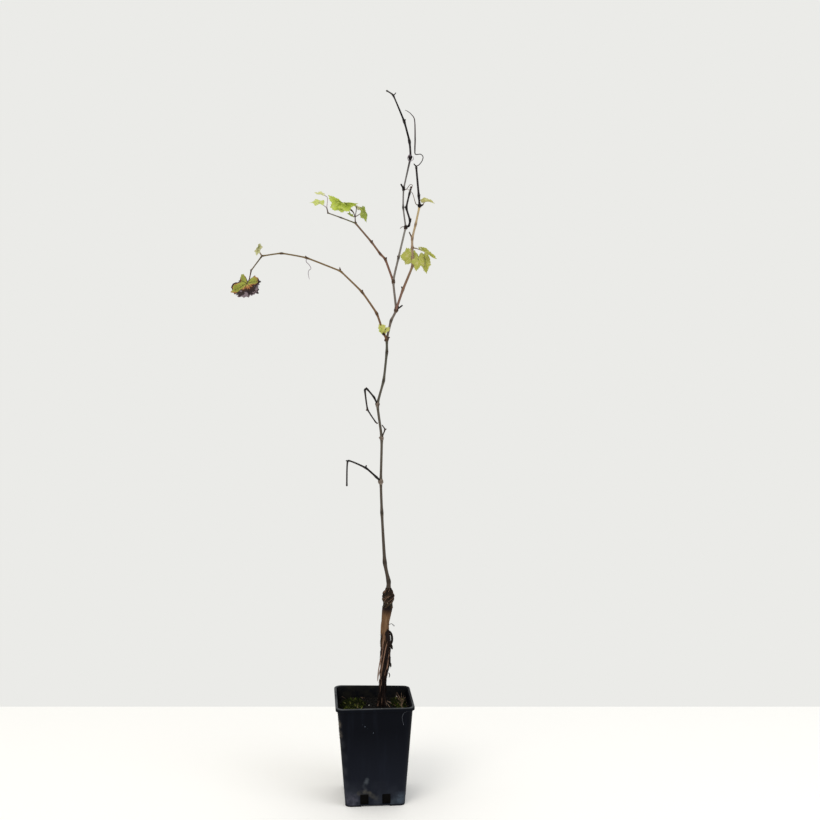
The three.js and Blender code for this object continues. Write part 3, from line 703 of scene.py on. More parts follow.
def scatter(name, pattern, places, materials, slot):
    """Copies a small pattern mesh to many places, as one joined mesh. A place is
    (position, forward, up, size, material number)."""
    corners, faces = pattern
    corners = np.array(corners, float)
    points, polygons, tones = [], [], []
    for number, (position, forward, up, size, tone) in enumerate(places):
        up = np.array(up, float) / np.linalg.norm(up)
        side = np.cross(up, forward)
        side /= max(np.linalg.norm(side), 1e-9)
        turned = np.stack([side, np.cross(side, up), up])
        points.append((corners * size) @ turned + np.array(position))
        polygons += [[i + number * len(corners) for i in face] for face in faces]
        tones += [tone] * len(faces)
    mesh = bpy.data.meshes.new(name)
    mesh.from_pydata((np.concatenate(points) * MM).tolist(), [], polygons)
    for material in materials:
        mesh.materials.append(material)
    mesh.polygons.foreach_set("material_index", tones)
    piece = bpy.data.objects.new(name, mesh)
    bpy.context.collection.objects.link(piece)
    return dress(piece, slot)


def spindle(sides, stations, bend=0.0):
    """A thin pointed stalk, one unit tall: stations are (height, radius)."""
    corners, faces = [(0, 0, 0)], []
    for height, radius in stations:
        for k in range(sides):
            turn = 2 * math.pi * k / sides
            corners.append((radius * math.cos(turn), radius * math.sin(turn) + bend * height**2, height))
    corners.append((0, bend, 1))
    last = len(corners) - 1
    for k in range(sides):
        after = (k + 1) % sides
        faces.append((0, 1 + after, 1 + k))
        for level in range(len(stations) - 1):
            low, high = 1 + level * sides, 1 + (level + 1) * sides
            faces.append((low + k, low + after, high + after, high + k))
        top = 1 + (len(stations) - 1) * sides
        faces.append((top + k, top + after, last))
    return corners, faces


def crumb():
    """One irregular grain, half a unit in radius."""
    bpy.ops.mesh.primitive_ico_sphere_add(subdivisions=1, radius=0.5)
    piece = bpy.context.object
    corners = [tuple(v.co * (1 + 0.25 * dice.uniform(-1, 1))) for v in piece.data.vertices]
    faces = [tuple(p.vertices) for p in piece.data.polygons]
    bpy.data.objects.remove(piece, do_unlink=True)
    return corners, faces


def anywhere():
    """A direction at random."""
    return [dice.uniform(-1, 1) for _ in range(3)]


def on_soil(x, y, lift=0.0):
    """The place on the compost's top, lifted that far."""
    return (x, y, float(soil_height(np.array(x), np.array(y))) + lift)


def make_moss():
    """Upright shoots, thickest where the cushions are, paler towards the front as painted light."""
    shoot = spindle(4, [(0.12, 0.085), (0.45, 0.12), (0.75, 0.075)], 0.25)
    places = []
    while len(places) < MOSS_SHOOTS:
        x, y = dice.uniform(-67, 67), dice.uniform(-67, 67)
        thick = float(moss_height(np.array(x), np.array(y)))
        if thick < 0.35 or dice.random() > 0.3 + 0.35 * thick:
            continue
        tilt = anywhere()
        up = (tilt[0] * 0.8, tilt[1] * 0.8 - 0.1, 1)
        tall = dice.uniform(1.6, 4.2) + (dice.uniform(1.5, 4.5) if dice.random() < 0.16 else 0)
        # Shoots towards the front are dealt paler tones more often, as painted light.
        painted_front_light = 0.1 + 0.5 * float(smooth(-y, -12, 34))
        tone = 0 if tall < 3 else dice.choices([0, 1, 2], [1 - painted_front_light, 0.72 * painted_front_light, 0.28 * painted_front_light])[0]
        places.append((on_soil(x, y, -0.6), anywhere(), up, tall, tone))
    scatter("cushion_moss", shoot, places, moss_tones, "soil")


def make_litter():
    """Crumbs of compost, white perlite, and dry grass at the right and all about."""
    grain = crumb()
    open_soil = [(dice.uniform(-65, 65), dice.uniform(-65, 65)) for _ in range(CRUMBS)]
    scatter(
        "compost_crumbs", grain,
        [(on_soil(x, y, 0.1), anywhere(), anywhere(), dice.uniform(0.8, 3.2), 0) for x, y in open_soil],
        [peat], "soil",
    )
    whites = OPEN_PERLITE + [(dice.uniform(-60, 60), dice.uniform(-60, 60)) for _ in range(PERLITE)]
    scatter(
        "perlite_grains", grain,
        [(on_soil(x, y, 0.5), anywhere(), anywhere(), dice.uniform(1.1, 2.4), 0) for x, y in whites],
        [perlite], "soil",
    )
    blade_of_grass = spindle(4, [(0.05, 0.014), (0.4, 0.018), (0.8, 0.01)], 0.12)
    places = []
    for _ in range(GRASS):
        x, y = dice.gauss(56, 5), dice.gauss(-8, 18)
        if abs(x) < 64 and abs(y) < 62:
            up = (dice.gauss(-0.05, 0.3), dice.gauss(0, 0.3), dice.uniform(0.5, 1))
            places.append((on_soil(x, y, 0.6), anywhere(), up, dice.uniform(9, 27), 0))
    for x, y, to_x, to_y, rise in STRAWS:
        way = np.array([to_x - x, to_y - y, rise])
        places.append((on_soil(x, y, 2.0), anywhere(), way, float(np.linalg.norm(way)), 0))
    for _ in range(SCRAPS):
        x, y = dice.uniform(-60, 60), dice.uniform(-60, 60)
        up = (dice.gauss(0, 1), dice.gauss(0, 1), 0.22)
        places.append((on_soil(x, y, 0.6), anywhere(), up, dice.uniform(4, 11), 0))
    scatter("straw_litter", blade_of_grass, places, [straw], "soil")


def make_pot_grime():
    """Grit stuck to the wall's left edge and face, and a fibre under the lip."""
    places = []
    for _ in range(15):
        height = dice.uniform(132, 186)
        edge = outer(height)
        spot = (-edge - 0.1, dice.uniform(-edge + 13, -edge + 26), height)
        places.append((spot, anywhere(), (-1, 0, 0.3), dice.uniform(0.7, 1.9), 0))
    for x, height, size in ((-20, 162, 1.9), (-24, 166, 0.9), (-4, 149, 1.5), (-16, 158, 0.8)):
        places.append(((x, -outer(height), height), anywhere(), (0, -1, 0), size, 1))
    scatter("wall_grit", crumb(), places, [lichen, chalk], "pot")
    line = [(60, 190), (54, 188), (50.6, 180), (51, 172), (53.6, 163)]
    course = Course([np.array([x, -outer(z) - 0.4, z]) for x, z in line], 0.45)
    reach = tapered([0.3, 0.2], course, 0, tip=0.4)
    dress(wind("hanging_fibre", course, reach, 6, 1.5, hair_root), "pot")


make_soil()
make_moss()
make_litter()
make_pot_grime()


# ---------------------------------------------------------------- the old wood

TRUNK = dict(
    radii=[7.6, 6.6, 6.7, 8.6, 9.2, 8.5, 7.7, 9.4],
    internodes=[[54, 2, 0], [40, 7, -1], [40, 1, 0], [29, -2, 0], [36, 7.5, 0]],
)
GRAFT = dict(radii=[9.4, 9.1, 11, 11.2, 9, 5], internodes=[[20, 5, 0], [18, 1, 0]])

trunk_joints = joints(TRUNK_FOOT, TRUNK["internodes"])
trunk_course = Course(trunk_joints)
graft_joints = joints(trunk_joints[-1], GRAFT["internodes"])
graft_course = Course(graft_joints)


def bark_relief(s, angle):
    """Height of the stringy bark, 0 in a split and 1 on a crest."""
    turned = angle + 0.35 * lumps(np.cos(angle), np.sin(angle), s / 26) + s / 160
    broad = lumps(np.cos(turned) * 2.6, np.sin(turned) * 2.6, s / 42)
    strand = lumps(np.cos(turned) * 6.5 + 7, np.sin(turned) * 6.5, s / 19)
    thread = lumps(np.cos(turned) * 17, np.sin(turned) * 17 + 5, s / 11)
    split = np.exp(-((broad / 0.13) ** 2)) + 0.6 * np.exp(-((strand / 0.12) ** 2))
    flake = smooth(lumps(np.cos(angle) * 1.7 + 3, np.sin(angle) * 1.7, s / 24), -0.05, 0.12)
    calm = smooth(s, trunk_course.length - 66, trunk_course.length - 50)
    height = 0.55 + (0.25 * flake + 0.22 * strand) * (1 - 0.6 * calm) + 0.14 * thread
    return np.clip(height - 0.5 * (1 - 0.8 * calm) * np.clip(split, 0, 1.2), 0, 1)


def trunk_reach(s, angle):
    """The trunk's radius: its taper, lobed like old vine wood, and the bark."""
    plain = np.interp(s, np.linspace(0, trunk_course.length, len(TRUNK["radii"])), TRUNK["radii"])
    ridges = 1 + 0.09 * np.sin(3 * angle + s / 24) + 0.05 * np.sin(5 * angle - s / 13 + 1)
    calm = 1 - 0.62 * smooth(s, trunk_course.length - 46, trunk_course.length - 30)
    return plain * ridges + (bark_relief(s, angle) - 0.62) * 3.4 * calm


def graft_relief(s, angle):
    """Creases of the callus, which cross the head aslant."""
    slant = lumps(np.cos(angle) * 1.6, np.sin(angle) * 1.6, s / 9) * 1.8
    fold = np.abs(np.sin(angle * 1.5 - s / 3.4 + slant))
    knobs = lumps(np.cos(angle) * 2.2 + 4, np.sin(angle) * 2.2, s / 5.5)
    fibre = lumps(np.cos(angle) * 9, np.sin(angle) * 9 + 2, s / 4 + angle * 0.6)
    return np.clip(0.18 + 0.55 * fold**0.6 + 0.22 * knobs + 0.12 * fibre, 0, 1)


def graft_reach(s, angle):
    """The graft's radius: its swelling, lumpy, and the creases."""
    plain = np.interp(s, np.linspace(0, graft_course.length, len(GRAFT["radii"])), GRAFT["radii"])
    lumpy = 1 + 0.1 * np.sin(2 * angle + s / 5) + 0.07 * np.sin(4 * angle - s / 7 + 2)
    return plain * lumpy + (graft_relief(s, angle) - 0.6) * 3.0


def make_trunk():
    """The trunk and the graft on it, with their bark as real relief."""
    for node, suffix, course, reach, around, step, skin, relief in (
        ("rootstock_trunk", "bark", trunk_course, trunk_reach, 112, 0.9, old_bark, bark_relief),
        ("graft_union", "callus", graft_course, graft_reach, 96, 0.6, callus, graft_relief),
    ):
        piece = wind(f"{node}_{suffix}", course, reach, around, step, skin, relief=relief)
        dress(piece, "old_bark", node)


def flattened(course, width, thick, blunt, tip):
    """The radius of a flat strip, half that wide and thick, to its narrow ends."""

    def flat(s, angle):
        taper = np.sqrt(np.clip(1 - np.abs(2 * s / course.length - 1) ** blunt, tip, 1))
        return width * thick / np.hypot(width * np.cos(angle), thick * np.sin(angle)) * taper

    return flat


STRIPS = 110
PEEL_TOP = 148  # the bark above this length of trunk is tight
PALE_MIDDLE, PALE_REACH = 98, 34  # where most of the peeled strips have bleached


def make_peeling_bark():
    """Strips lie along the trunk and lift off it at their ends."""
    # Place along the trunk, angle, length, width, lift at the top, lift at the foot.
    ranges = ((4, 132), (0, 6.283), (12, 44), (0.45, 1.7), (0, 1.6), (0, 2.6))
    specs = [[dice.uniform(*span) for span in ranges] for _ in range(STRIPS)]
    strips = {bast: [], dark_bast: []}
    for number, (low, angle, length, width, lift_top, lift_foot) in enumerate(specs):
        length = min(length, PEEL_TOP - low)
        s = np.linspace(low, low + length, 9)
        drift = angle + 0.25 * lumps(s / 22, number, 0.5) + s / 160
        centre, front, side = trunk_course.frames(s)
        out = np.cos(drift)[:, None] * front + np.sin(drift)[:, None] * side
        share = np.linspace(0, 1, 9)
        lift = 0.35 + lift_foot * (1 - share) ** 3 + lift_top * share**4
        off = trunk_reach(s, drift) + lift
        course = Course(list(centre + out * off[:, None]), 0.5)
        left_side = 0.5 - 0.5 * math.sin(angle)
        pale_share = left_side * math.exp(-(((low + length / 2 - PALE_MIDDLE) / PALE_REACH) ** 2))
        flat = flattened(course, width, 0.3, 2.5, 0.02)
        kind = bast if dice.random() < 0.01 + 0.42 * pale_share else dark_bast
        strips[kind].append(wind(f"strip_{number}", course, flat, 8, 1.6, kind, face=out[4]))
    for kind, name in ((bast, "peeling_bast"), (dark_bast, "peeling_bast_dark")):
        dress(join(name, strips[kind]), "old_bark")


def ribbon(points, width, thick, material, face=(0, -1, 0), sides=8, step=0.8, blunt=4):
    """A loose strip of bark along its own course, more pointed if less blunt."""
    course = Course([np.array(p, float) for p in points], 0.5)
    flat = flattened(course, width, thick, blunt, 0.03)
    return wind("ribbon", course, flat, sides, step, material, face)


# Loose strips on the trunk: points, half width, half thickness, skin, and what differs.
DARK_STRIPS = [
    # a loop on the right, its clump and its back
    ([(21, -8, 334), (26.5, -9.4, 330.5), (31.5, -7, 326.5), (34.8, -5, 320), (35.8, -4, 311),
      (34.4, -4.6, 304.5), (30.5, -6.4, 299.5), (26, -8, 297)], 2.3, 1.5, dark_bast, {}),
    ([(23, -9, 331), (25.2, -10.4, 325), (26.6, -10.8, 318), (27, -10.4, 309)],
     3.4, 1.7, dark_bast, {"blunt": 3}),
    ([(22, -9, 329), (25.5, -10.6, 320), (28.5, -9.8, 310), (33, -7, 299)], 2.8, 1.2, dark_bast, {}),
    # the pointed end below it
    ([(26.5, -9.6, 321), (29.6, -9, 311), (33.4, -7, 301), (36.2, -6, 292)], 2.6, 1.0, dark_bast, {}),
    # a hair above it, in two lengths
    ([(27, -7, 340), (32, -7.4, 342.6), (36, -6, 342.2), (38.6, -6, 337.6)],
     0.62, 0.45, dark_bast, {"sides": 6}),
    ([(36.6, -6, 341.6), (39.6, -6.2, 339.6), (41, -6.4, 337)], 0.5, 0.4, dark_bast, {"sides": 6}),
    # two scraps lower down
    ([(29, -6, 266), (32.6, -6, 264.5), (33.4, -6, 257)], 1.3, 0.6, dark_bast, {}),
    ([(28.5, -5, 246), (31, -6, 242), (29.6, -5.5, 236)], 0.9, 0.6, dark_bast, {}),
]
PALE_STRIPS = [
    # curved ones on the left
    ([(19, -8, 289), (15.5, -8.5, 280), (12.4, -7.6, 270), (10.2, -7, 257), (8.3, -6.5, 243),
      (7.2, -6.3, 229)], 1.2, 0.5, bast, {"face": (-0.6, -0.8, 0)}),
    ([(15, -8.5, 262), (11.5, -8, 250), (9.4, -7.6, 240)], 0.8, 0.35, bast, {"face": (-0.6, -0.8, 0)}),
    # bands down the front, from the loop
    ([(27.5, -8.9, 312), (25, -10.8, 303), (22.4, -10.8, 293), (20, -10, 279), (17, -9.2, 262),
      (15.6, -8.6, 247)], 1.35, 0.5, bast, {"blunt": 1.6}),
    ([(19, -10, 300), (16.6, -10, 286), (15, -9.4, 270), (12.6, -8.6, 254)], 0.8, 0.45, bast,
     {"blunt": 1.6}),
    ([(28.6, -9.9, 306), (29.4, -9.7, 294), (27.6, -9.8, 281), (26, -9.4, 266)], 0.8, 0.5, dark_bast,
     {"blunt": 1.6}),
    ([(29, -9.6, 304), (31.4, -8.8, 296), (32.6, -7.6, 288)], 0.8, 0.5, dark_bast, {"blunt": 1.8}),
    # a strip that hangs clear on the right
    ([(31, -6, 300), (31.6, -6, 288), (30.4, -6, 277)], 0.6, 0.35, bast, {"blunt": 2}),
]
# Thin strands down the lower trunk: x, z at the top, z at the foot, bow.
LOW_STRANDS = [
    (12.5, 268, 226, 1.6), (10.6, 250, 218, -1.2), (13.2, 236, 208, 1.0), (22.0, 272, 246, 1.2),
]
SHREDS = 24


def make_loose_bark():
    """The strips that stand clear of the trunk, and the shreds at its foot."""
    dark, pale = [
        [ribbon(points, width, thick, skin, **other) for points, width, thick, skin, other in strips]
        for strips in (DARK_STRIPS, PALE_STRIPS)
    ]
    for x, top, low, bow in LOW_STRANDS:
        course = [
            (x + 2, -8.6, top), (x + bow, -9.4, (2 * top + low) / 3), (x, -8.6, (top + 2 * low) / 3),
            (x - 0.6 * bow, -8, low),
        ]
        pale.append(ribbon(course, 0.36, 0.3, bast, blunt=2, sides=6))
    for number in range(SHREDS):
        skin, shreds = (bast, pale) if number % 4 == 0 else (dark_bast, dark)
        turn = dice.uniform(0, 6.283)
        out = np.array([math.sin(turn), -math.cos(turn), 0])
        foot = np.array(TRUNK_FOOT) + out * 7.6
        top = dice.uniform(9, 30)
        lean = dice.uniform(0.6, 5)
        away = ((-0.8, 180 + top), (0.6 + lean * 0.2, 180 + top * 0.55), (lean, 179.6))
        course = [(*(foot[:2] + out[:2] * off), height) for off, height in away]
        shreds.append(ribbon(course, dice.uniform(0.25, 0.7), 0.26, skin, out, 6, 1.6))
    dress(join("loose_bark_dark", dark), "old_bark")
    dress(join("loose_bark", pale), "old_bark")


def make_graft_strands():
    """Fine pale strands that lie aslant over the graft's head, and the flecks
    of lichen on its neck."""
    strands = []
    for _ in range(15):
        middle, turn = dice.uniform(14, 36), dice.uniform(-2.4, 2.4)
        half, slope = dice.uniform(0.35, 0.85), dice.uniform(2.5, 6.5)
        share = np.linspace(-1, 1, 9)
        s = np.clip(middle + share * slope, 3, graft_course.length - 1.2)
        angle = turn + share * half
        centre, front, side = graft_course.frames(s)
        out = np.cos(angle)[:, None] * front + np.sin(angle)[:, None] * side
        off = graft_reach(s, angle) + 0.2
        width = dice.uniform(0.28, 0.6)
        course = centre + out * off[:, None]
        strands.append(ribbon(course, width, 0.26, bast, out[4], 6, 1.0))
    dress(join("graft_strands", strands), "old_bark")
    places = []
    for _ in range(16):
        s, angle = dice.uniform(1, 16), dice.uniform(-1.5, 1.5)
        centre, front, side = graft_course.frames(np.array([s]))
        out = math.cos(angle) * front[0] + math.sin(angle) * side[0]
        spot = centre[0] + out * float(graft_reach(np.array(s), np.array(angle)))
        places.append((spot, anywhere(), out, dice.uniform(0.7, 1.9), 0))
    scatter("graft_lichen", crumb(), places, [lichen], "old_bark")


make_trunk()
make_peeling_bark()
make_loose_bark()
make_graft_strands()


# ------------------------------------------------------------ stems and shoots

grown = {"rootstock_trunk": trunk_joints, "graft_union": graft_joints}

# name: (from, radii, swelling of a joint, internodes)
LIMBS = {
    "main_stem_lower": (("graft_union", 2), [3.6, 2.6, 2.4, 2.3, 2.2], 0.3, [
        [13, 1, 0], [37, -11, 10], [96, -3, 4], [62, -2, -6], [84, 1, -4],
        [65, -7, -3], [47, 15, 9], [54, 7, 6], [25, 0, 0]]),
    "main_stem_middle": (("main_stem_lower", 9), [2.3, 2.1, 1.8], 0.3, [
        [36, 13, -4], [23, 24, -12], [54, -5, 9], [46, 12, -9], [58, 13, -7]]),
    "main_stem_upper": (("main_stem_middle", 5), [1.6, 1.4, 1.5, 1.9, 1.9, 1.6, 1.2], 0.5, [
        [37, -7, 3], [35, 2, 7], [58, 12, -7], [30, -3, 4], [39, -14, 10], [51, -24, -7],
        [17, -58, -17]]),
    "left_shoot_rising": (("main_stem_lower", 9), [2.1, 1.9, 1.6], 0.45, [
        [14, -29, -22], [43, -20, -21], [53, -35, -22], [60, -46, -22]]),
    "left_shoot_level": (("left_shoot_rising", 4), [1.6, 1.3], 0.45, [
        [73, -69, -25], [49, -80, -23], [36, -98, -15]]),
    "left_shoot_drooping": (("left_shoot_level", 3), [1.3, 1.0], 0.35, [[32, -143, -8]]),
    "upper_left_shoot": (("main_stem_middle", 3), [2.2, 1.7], 0.3, [
        [45, -19, 17], [16, -41, 25], [30, -35, 26], [54, -39, 29]]),
    "upper_left_twig": (("upper_left_shoot", 4), [1.3, 1.0], 0.35, [[33, -68, 29], [31, -69, 31]]),
    "right_shoot": (("main_stem_middle", 2), [2.3, 2.2, 1.8], 0.3, [
        [43, 17, -23], [53, 20, -26], [35, -3, -22], [18, -2, -22], [28, 12, -22], [35, 11, -18]]),
    "right_dead_cane": (("right_shoot", 6), [1.9, 1.75], 0.4, [[18, -5, 0], [55, -4, 13]]),
    "dead_twig_low": (("main_stem_lower", 4), [2.0, 1.8, 1.5, 1.5], 0.3, [
        [14, -44, -22], [31, -46, -24], [43, -64, -27], [48, -177, -9]]),
    "dead_twig_stub": (("main_stem_lower", 5), [1.4, 1.0], 0.3, [[20, 18, -22], [11, -33, -8]]),
    "dead_twig_looped": (("main_stem_lower", 6), [1.8, 1.6, 1.3], 0.3, [
        [17, -25, -18], [24, -39, -28], [5, -110, -19], [38, 172, 9], [32, 148, 12]]),
    "dead_twig_upper": (("main_stem_middle", 5), [1.7, 1.8, 1.5], 0.4, [
        [10, 65, -55], [11, 11, -24], [25, -18, -17], [27, 12, -9], [10, 14, -15]]),
    "right_shoot_spur": (("right_shoot", 4), [1.5, 0.9], 0.3, [[14, -26, -12]]),
}
# The slot of each limb that isn't a cane.
SLOT = {
    "main_stem_lower": "stem_bark", "main_stem_middle": "stem_bark", "main_stem_upper": "dead_wood",
    "right_dead_cane": "dead_wood", "dead_twig_low": "dead_wood", "dead_twig_stub": "dead_wood",
    "dead_twig_looped": "dead_wood", "dead_twig_upper": "dead_wood",
}
THREAD = [0.85, 0.65, 0.45]
# name: (from, skin, radii, internodes)
TENDRILS = {
    "tendril_top": (("right_dead_cane", 2), "dead", [0.9, 0.8, 0.8, 1.3, 1.35, 1.2, 1, 0.7, 0.5], [
        [5, 64, -13], [6, 44, 6], [6, 31, 18], [6, 14, 18], [5, -25, 37], [5, -57, 40],
        [5, -95, 28], [5, -76, 31], [9, -2, 20], [22, 3, 20], [36, 0, 20], [15, -25, 34],
        [10, -43, 40], [11, -54, 52]]),
    "tendril_right": (("right_shoot", 6), "dried", THREAD, [[8, -62, -10], [20, -18, 6], [12, -50, 12]]),
    "tendril_stem": (("main_stem_upper", 2), "dried", THREAD, [
        [6, 108, -39], [6, 40, -23], [5, 35, -26], [3, 71, -3], [3, 124, -4], [3, -178, 0]]),
    "tendril_curl": (("main_stem_upper", 3), "lilac", THREAD, [
        [8, -15, -45], [6, -140, -8], [6, 171, -6], [5, 110, -10], [6, 52, 4], [7, -6, 30]]),
    "tendril_hanging": (("left_shoot_level", 1), "lilac", [0.65, 0.55, 0.45], [
        [7, -175, -12], [8, 137, -10], [7, 155, -2], [6, -135, 12], [6, -173, 11], [10, 169, -1]]),
    "tendril_node": (("main_stem_middle", 5), "dried", THREAD, [[7, -84, -14], [6, -130, -6]]),
}


def grow_limbs():
    """Grows each limb on from a joint of the one that carries it."""
    for name, (foot, radii, knot, internodes) in LIMBS.items():
        grown[name] = joints(grown[foot[0]][foot[1]], internodes)
        course = Course(grown[name])
        reach = tapered(radii, course, knot, tip=radii[-1] * 1.2, ribbed=0.06)
        skin = cane_bark(f"{name}_bark", *WOOD[name], 0.8 if name in SLOT else 0.58)
        limb = wind(f"{name}_skin", course, reach, 18, 1.5, skin, joint_length=4.5)
        dress(limb, SLOT.get(name, "cane"), name)


def grow_tendrils():
    """Grows each tendril on from a joint, curling more freely than a limb."""
    for name, (foot, state, radii, internodes) in TENDRILS.items():
        course = Course(joints(grown[foot[0]][foot[1]], internodes), 0.45)
        reach = tapered(radii, course, 0, tip=0.6)
        dress(wind(f"{name}_thread", course, reach, 8, 1, TENDRIL_SKIN[state]), "tendril", name)


grow_limbs()
grow_tendrils()


# Buds on each limb: joint, lean, back, length, radius.
BUDS = {
    "main_stem_lower": [
        (2, 30, -40, 4, 1.5), (3, -35, 40, 4, 1.5), (4, 40, 30, 4.5, 1.7), (5, -50, -20, 4.5, 1.7),
        (6, 62, -20, 5, 1.9), (7, -40, 40, 4, 1.6), (8, 55, -30, 4, 1.6),
    ],
    "main_stem_middle": [(4, -40, -30, 4.5, 1.5)],
    "main_stem_upper": [(4, -50, 0, 4, 1.4)],
    "left_shoot_rising": [(2, -62, -40, 4.5, 1.5), (3, 20, -20, 4.5, 1.5), (4, -14, -20, 7.5, 1.4)],
    "left_shoot_level": [(1, -30, -30, 4.5, 1.4), (2, -120, -40, 4.5, 1.4)],
    "left_shoot_drooping": [(1, -60, -20, 2.2, 0.9)],
    "upper_left_shoot": [(1, 30, 0, 5, 1.7), (3, 30, 20, 4.5, 1.5)],
    "upper_left_twig": [(2, -110, 10, 2.4, 1.1)],
    "right_shoot": [(2, 60, -20, 4.5, 1.7), (3, 70, -30, 4, 1.5)],
    "right_dead_cane": [(1, 60, -20, 3.5, 1.2)],
    "dead_twig_looped": [(2, -30, 0, 4, 1.3), (4, -120, -20, 4.5, 1.6), (5, 100, 0, 4, 1.4)],
    "dead_twig_upper": [(2, 40, -20, 4, 1.5), (5, 20, -10, 3.5, 1.9)],
    "dead_twig_stub": [(1, 80, -10, 3.5, 1.3)],
}
# Stubs of shed stalks, in the same way.
STUBS = {
    "main_stem_lower": [(9, 60, -20, 7, 1.6)],
    "main_stem_middle": [
        (2, 30, -24, 9, 2.2), (2, 56, -22, 15.5, 1.9), (3, 50, 20, 4, 1.6), (5, -30, -30, 3.6, 1.4),
    ],
    "main_stem_upper": [
        (2, -34, -10, 10, 2.1), (3, 60, -30, 4.5, 1.6), (3, -52, -20, 5, 1.8), (5, 40, -20, 4.5, 1.5),
        (6, 48, -10, 7, 1.1),
    ],
    "left_shoot_level": [(3, 60, -30, 2.6, 1.2)],
    "upper_left_shoot": [(4, 60, 10, 3.2, 1.2)],
    "right_shoot": [(1, -30, -20, 6.5, 1.5), (6, 78, -20, 6.5, 2.2), (6, -70, -10, 5, 1.6)],
    "right_dead_cane": [(2, -48, 0, 6, 1.4)],
    "dead_twig_low": [(2, 10, -30, 6, 1.6), (3, -90, -10, 4, 1.5)],
    "dead_twig_upper": [(3, -70, -10, 4, 1.4)],
}
# Callused knots round the old joints: for each limb, joint, radius, length, skin.
KNOTS = {
    "main_stem_lower": [
        (4, 4.9, 13, "grey"), (5, 4, 11, "grey"), (6, 4.4, 12, "grey"), (9, 4.3, 12, "brown"),
    ],
    "main_stem_middle": [(2, 4, 12, "brown"), (3, 3.7, 11, "brown"), (5, 3.7, 9, "russet")],
    "main_stem_upper": [(2, 3.2, 10, "black"), (3, 3.8, 10, "black"), (5, 2.6, 7, "russet")],
    "left_shoot_rising": [(1, 3.5, 10, "black"), (2, 2.8, 8, "brown")],
    "right_shoot": [(6, 3.3, 9, "black")],
    "dead_twig_upper": [(3, 2.6, 8, "black")],
}


def rows(places):
    """The rows of a table by limb, each with its limb's name in front."""
    return [(limb, *row) for limb, given in places.items() for row in given]


def make_knots():
    """Lumpy callus round the old joints, along the limb's own way there."""
    skins = {
        name: cane_bark(f"knot_callus_{name}", shades, streak, 0.8)
        for name, shades, streak in (
            ("grey", ("a3968a", "8d8074"), "564a42"), ("brown", ("705846", "5c4839"), "3a2c23"),
            ("black", ("1e1614", "191312"), "0c0808"), ("russet", ("4a2a20", "3c231b"), "1a100d"),
        )
    }
    made = []
    for limb, joint, radius, length, skin in rows(KNOTS):
        points = grown[limb]
        way = points[min(joint + 1, len(points) - 1)] - points[joint - 1]
        way = way / np.linalg.norm(way) * length / 2
        course = Course([points[joint] - way, points[joint], points[joint] + way])

        def swell(s, angle, radius=radius, length=course.length, seed=len(made)):
            arch = np.sqrt(np.clip(1 - np.abs(2 * s / length - 1) ** 2.4, 0.01, 1))
            return radius * arch * (
                0.9 + 0.36 * lumps(np.cos(angle) * 1.7 + seed, np.sin(angle) * 1.7, s / 3.6)
                + 0.16 * lumps(np.cos(angle) * 5, np.sin(angle) * 5 + seed, s / 1.3)
            )

        made.append(wind(f"knot_{len(made)}", course, swell, 20, 0.5, skins[skin]))
    dress(join("joint_knots", made), "stem_bark")


make_knots()


def make_buds():
    """Plump pointed buds, and blunt stubs, each bent a little upwards."""
    for name, places, taper, skin, slot in (
        ("winter_buds", BUDS, (1.15, 1.2, 0.8, 0.15), bud_scales, "cane"),
        ("shed_stalk_stubs", STUBS, (1.2, 0.85, 0.8, 0.75), dark_bast, "dead_wood"),
    ):
        made = []
        for limb, joint, lean, back, length, radius in rows(places):
            foot, way = grown[limb][joint], heading(lean, back)
            tip = foot + way * length + np.array([0, 0, 0.8])
            course = Course([foot, foot + way * length * 0.5, tip])
            reach = tapered([radius * share for share in taper], course, 0, tip=0.6)
            made.append(wind(name, course, reach, 10, 0.7, skin))
        dress(join(name, made), slot)


make_buds()


# ------------------------------------------------------------------ the leaves

LOBES = [(0, 1.0), (58, 0.86), (118, 0.66)]  # each lobe's angle and reach
VEINS = [0, 58, -58, 118, -118]
BLADE_THICKNESS = 0.42
FLAT_LEAF = dict(
    roll=0, spread=1, fold=0, curl=0, sag=0, wave=0.08, turn=0, cut=1.3, crumple=0.03, skin="lime",
)


def edge_reach(angle, cut):
    """Reach of a leaf's edge from its stalk: five pointed, toothed lobes and the
    deep notch where the stalk stands. Cut is how deep the lobes are cut."""
    off = np.abs(np.degrees(np.arctan2(np.sin(angle), np.cos(angle))))
    reach = 0.12 + 0 * off
    for at, share in LOBES:
        away = np.abs(off - at)
        point = 0.9 + 0.1 * np.exp(-((away / 7) ** 2))
        reach = np.maximum(reach, share * point * np.cos(np.radians(np.minimum(90, cut * away))))
    saw = np.abs(np.mod(off / 11.5 + 0.5, 1) - 0.5) * 2
    fine = np.abs(np.mod(off / 5.2, 1) - 0.5) * 2
    return reach * (1 - 0.12 * saw - 0.04 * fine)


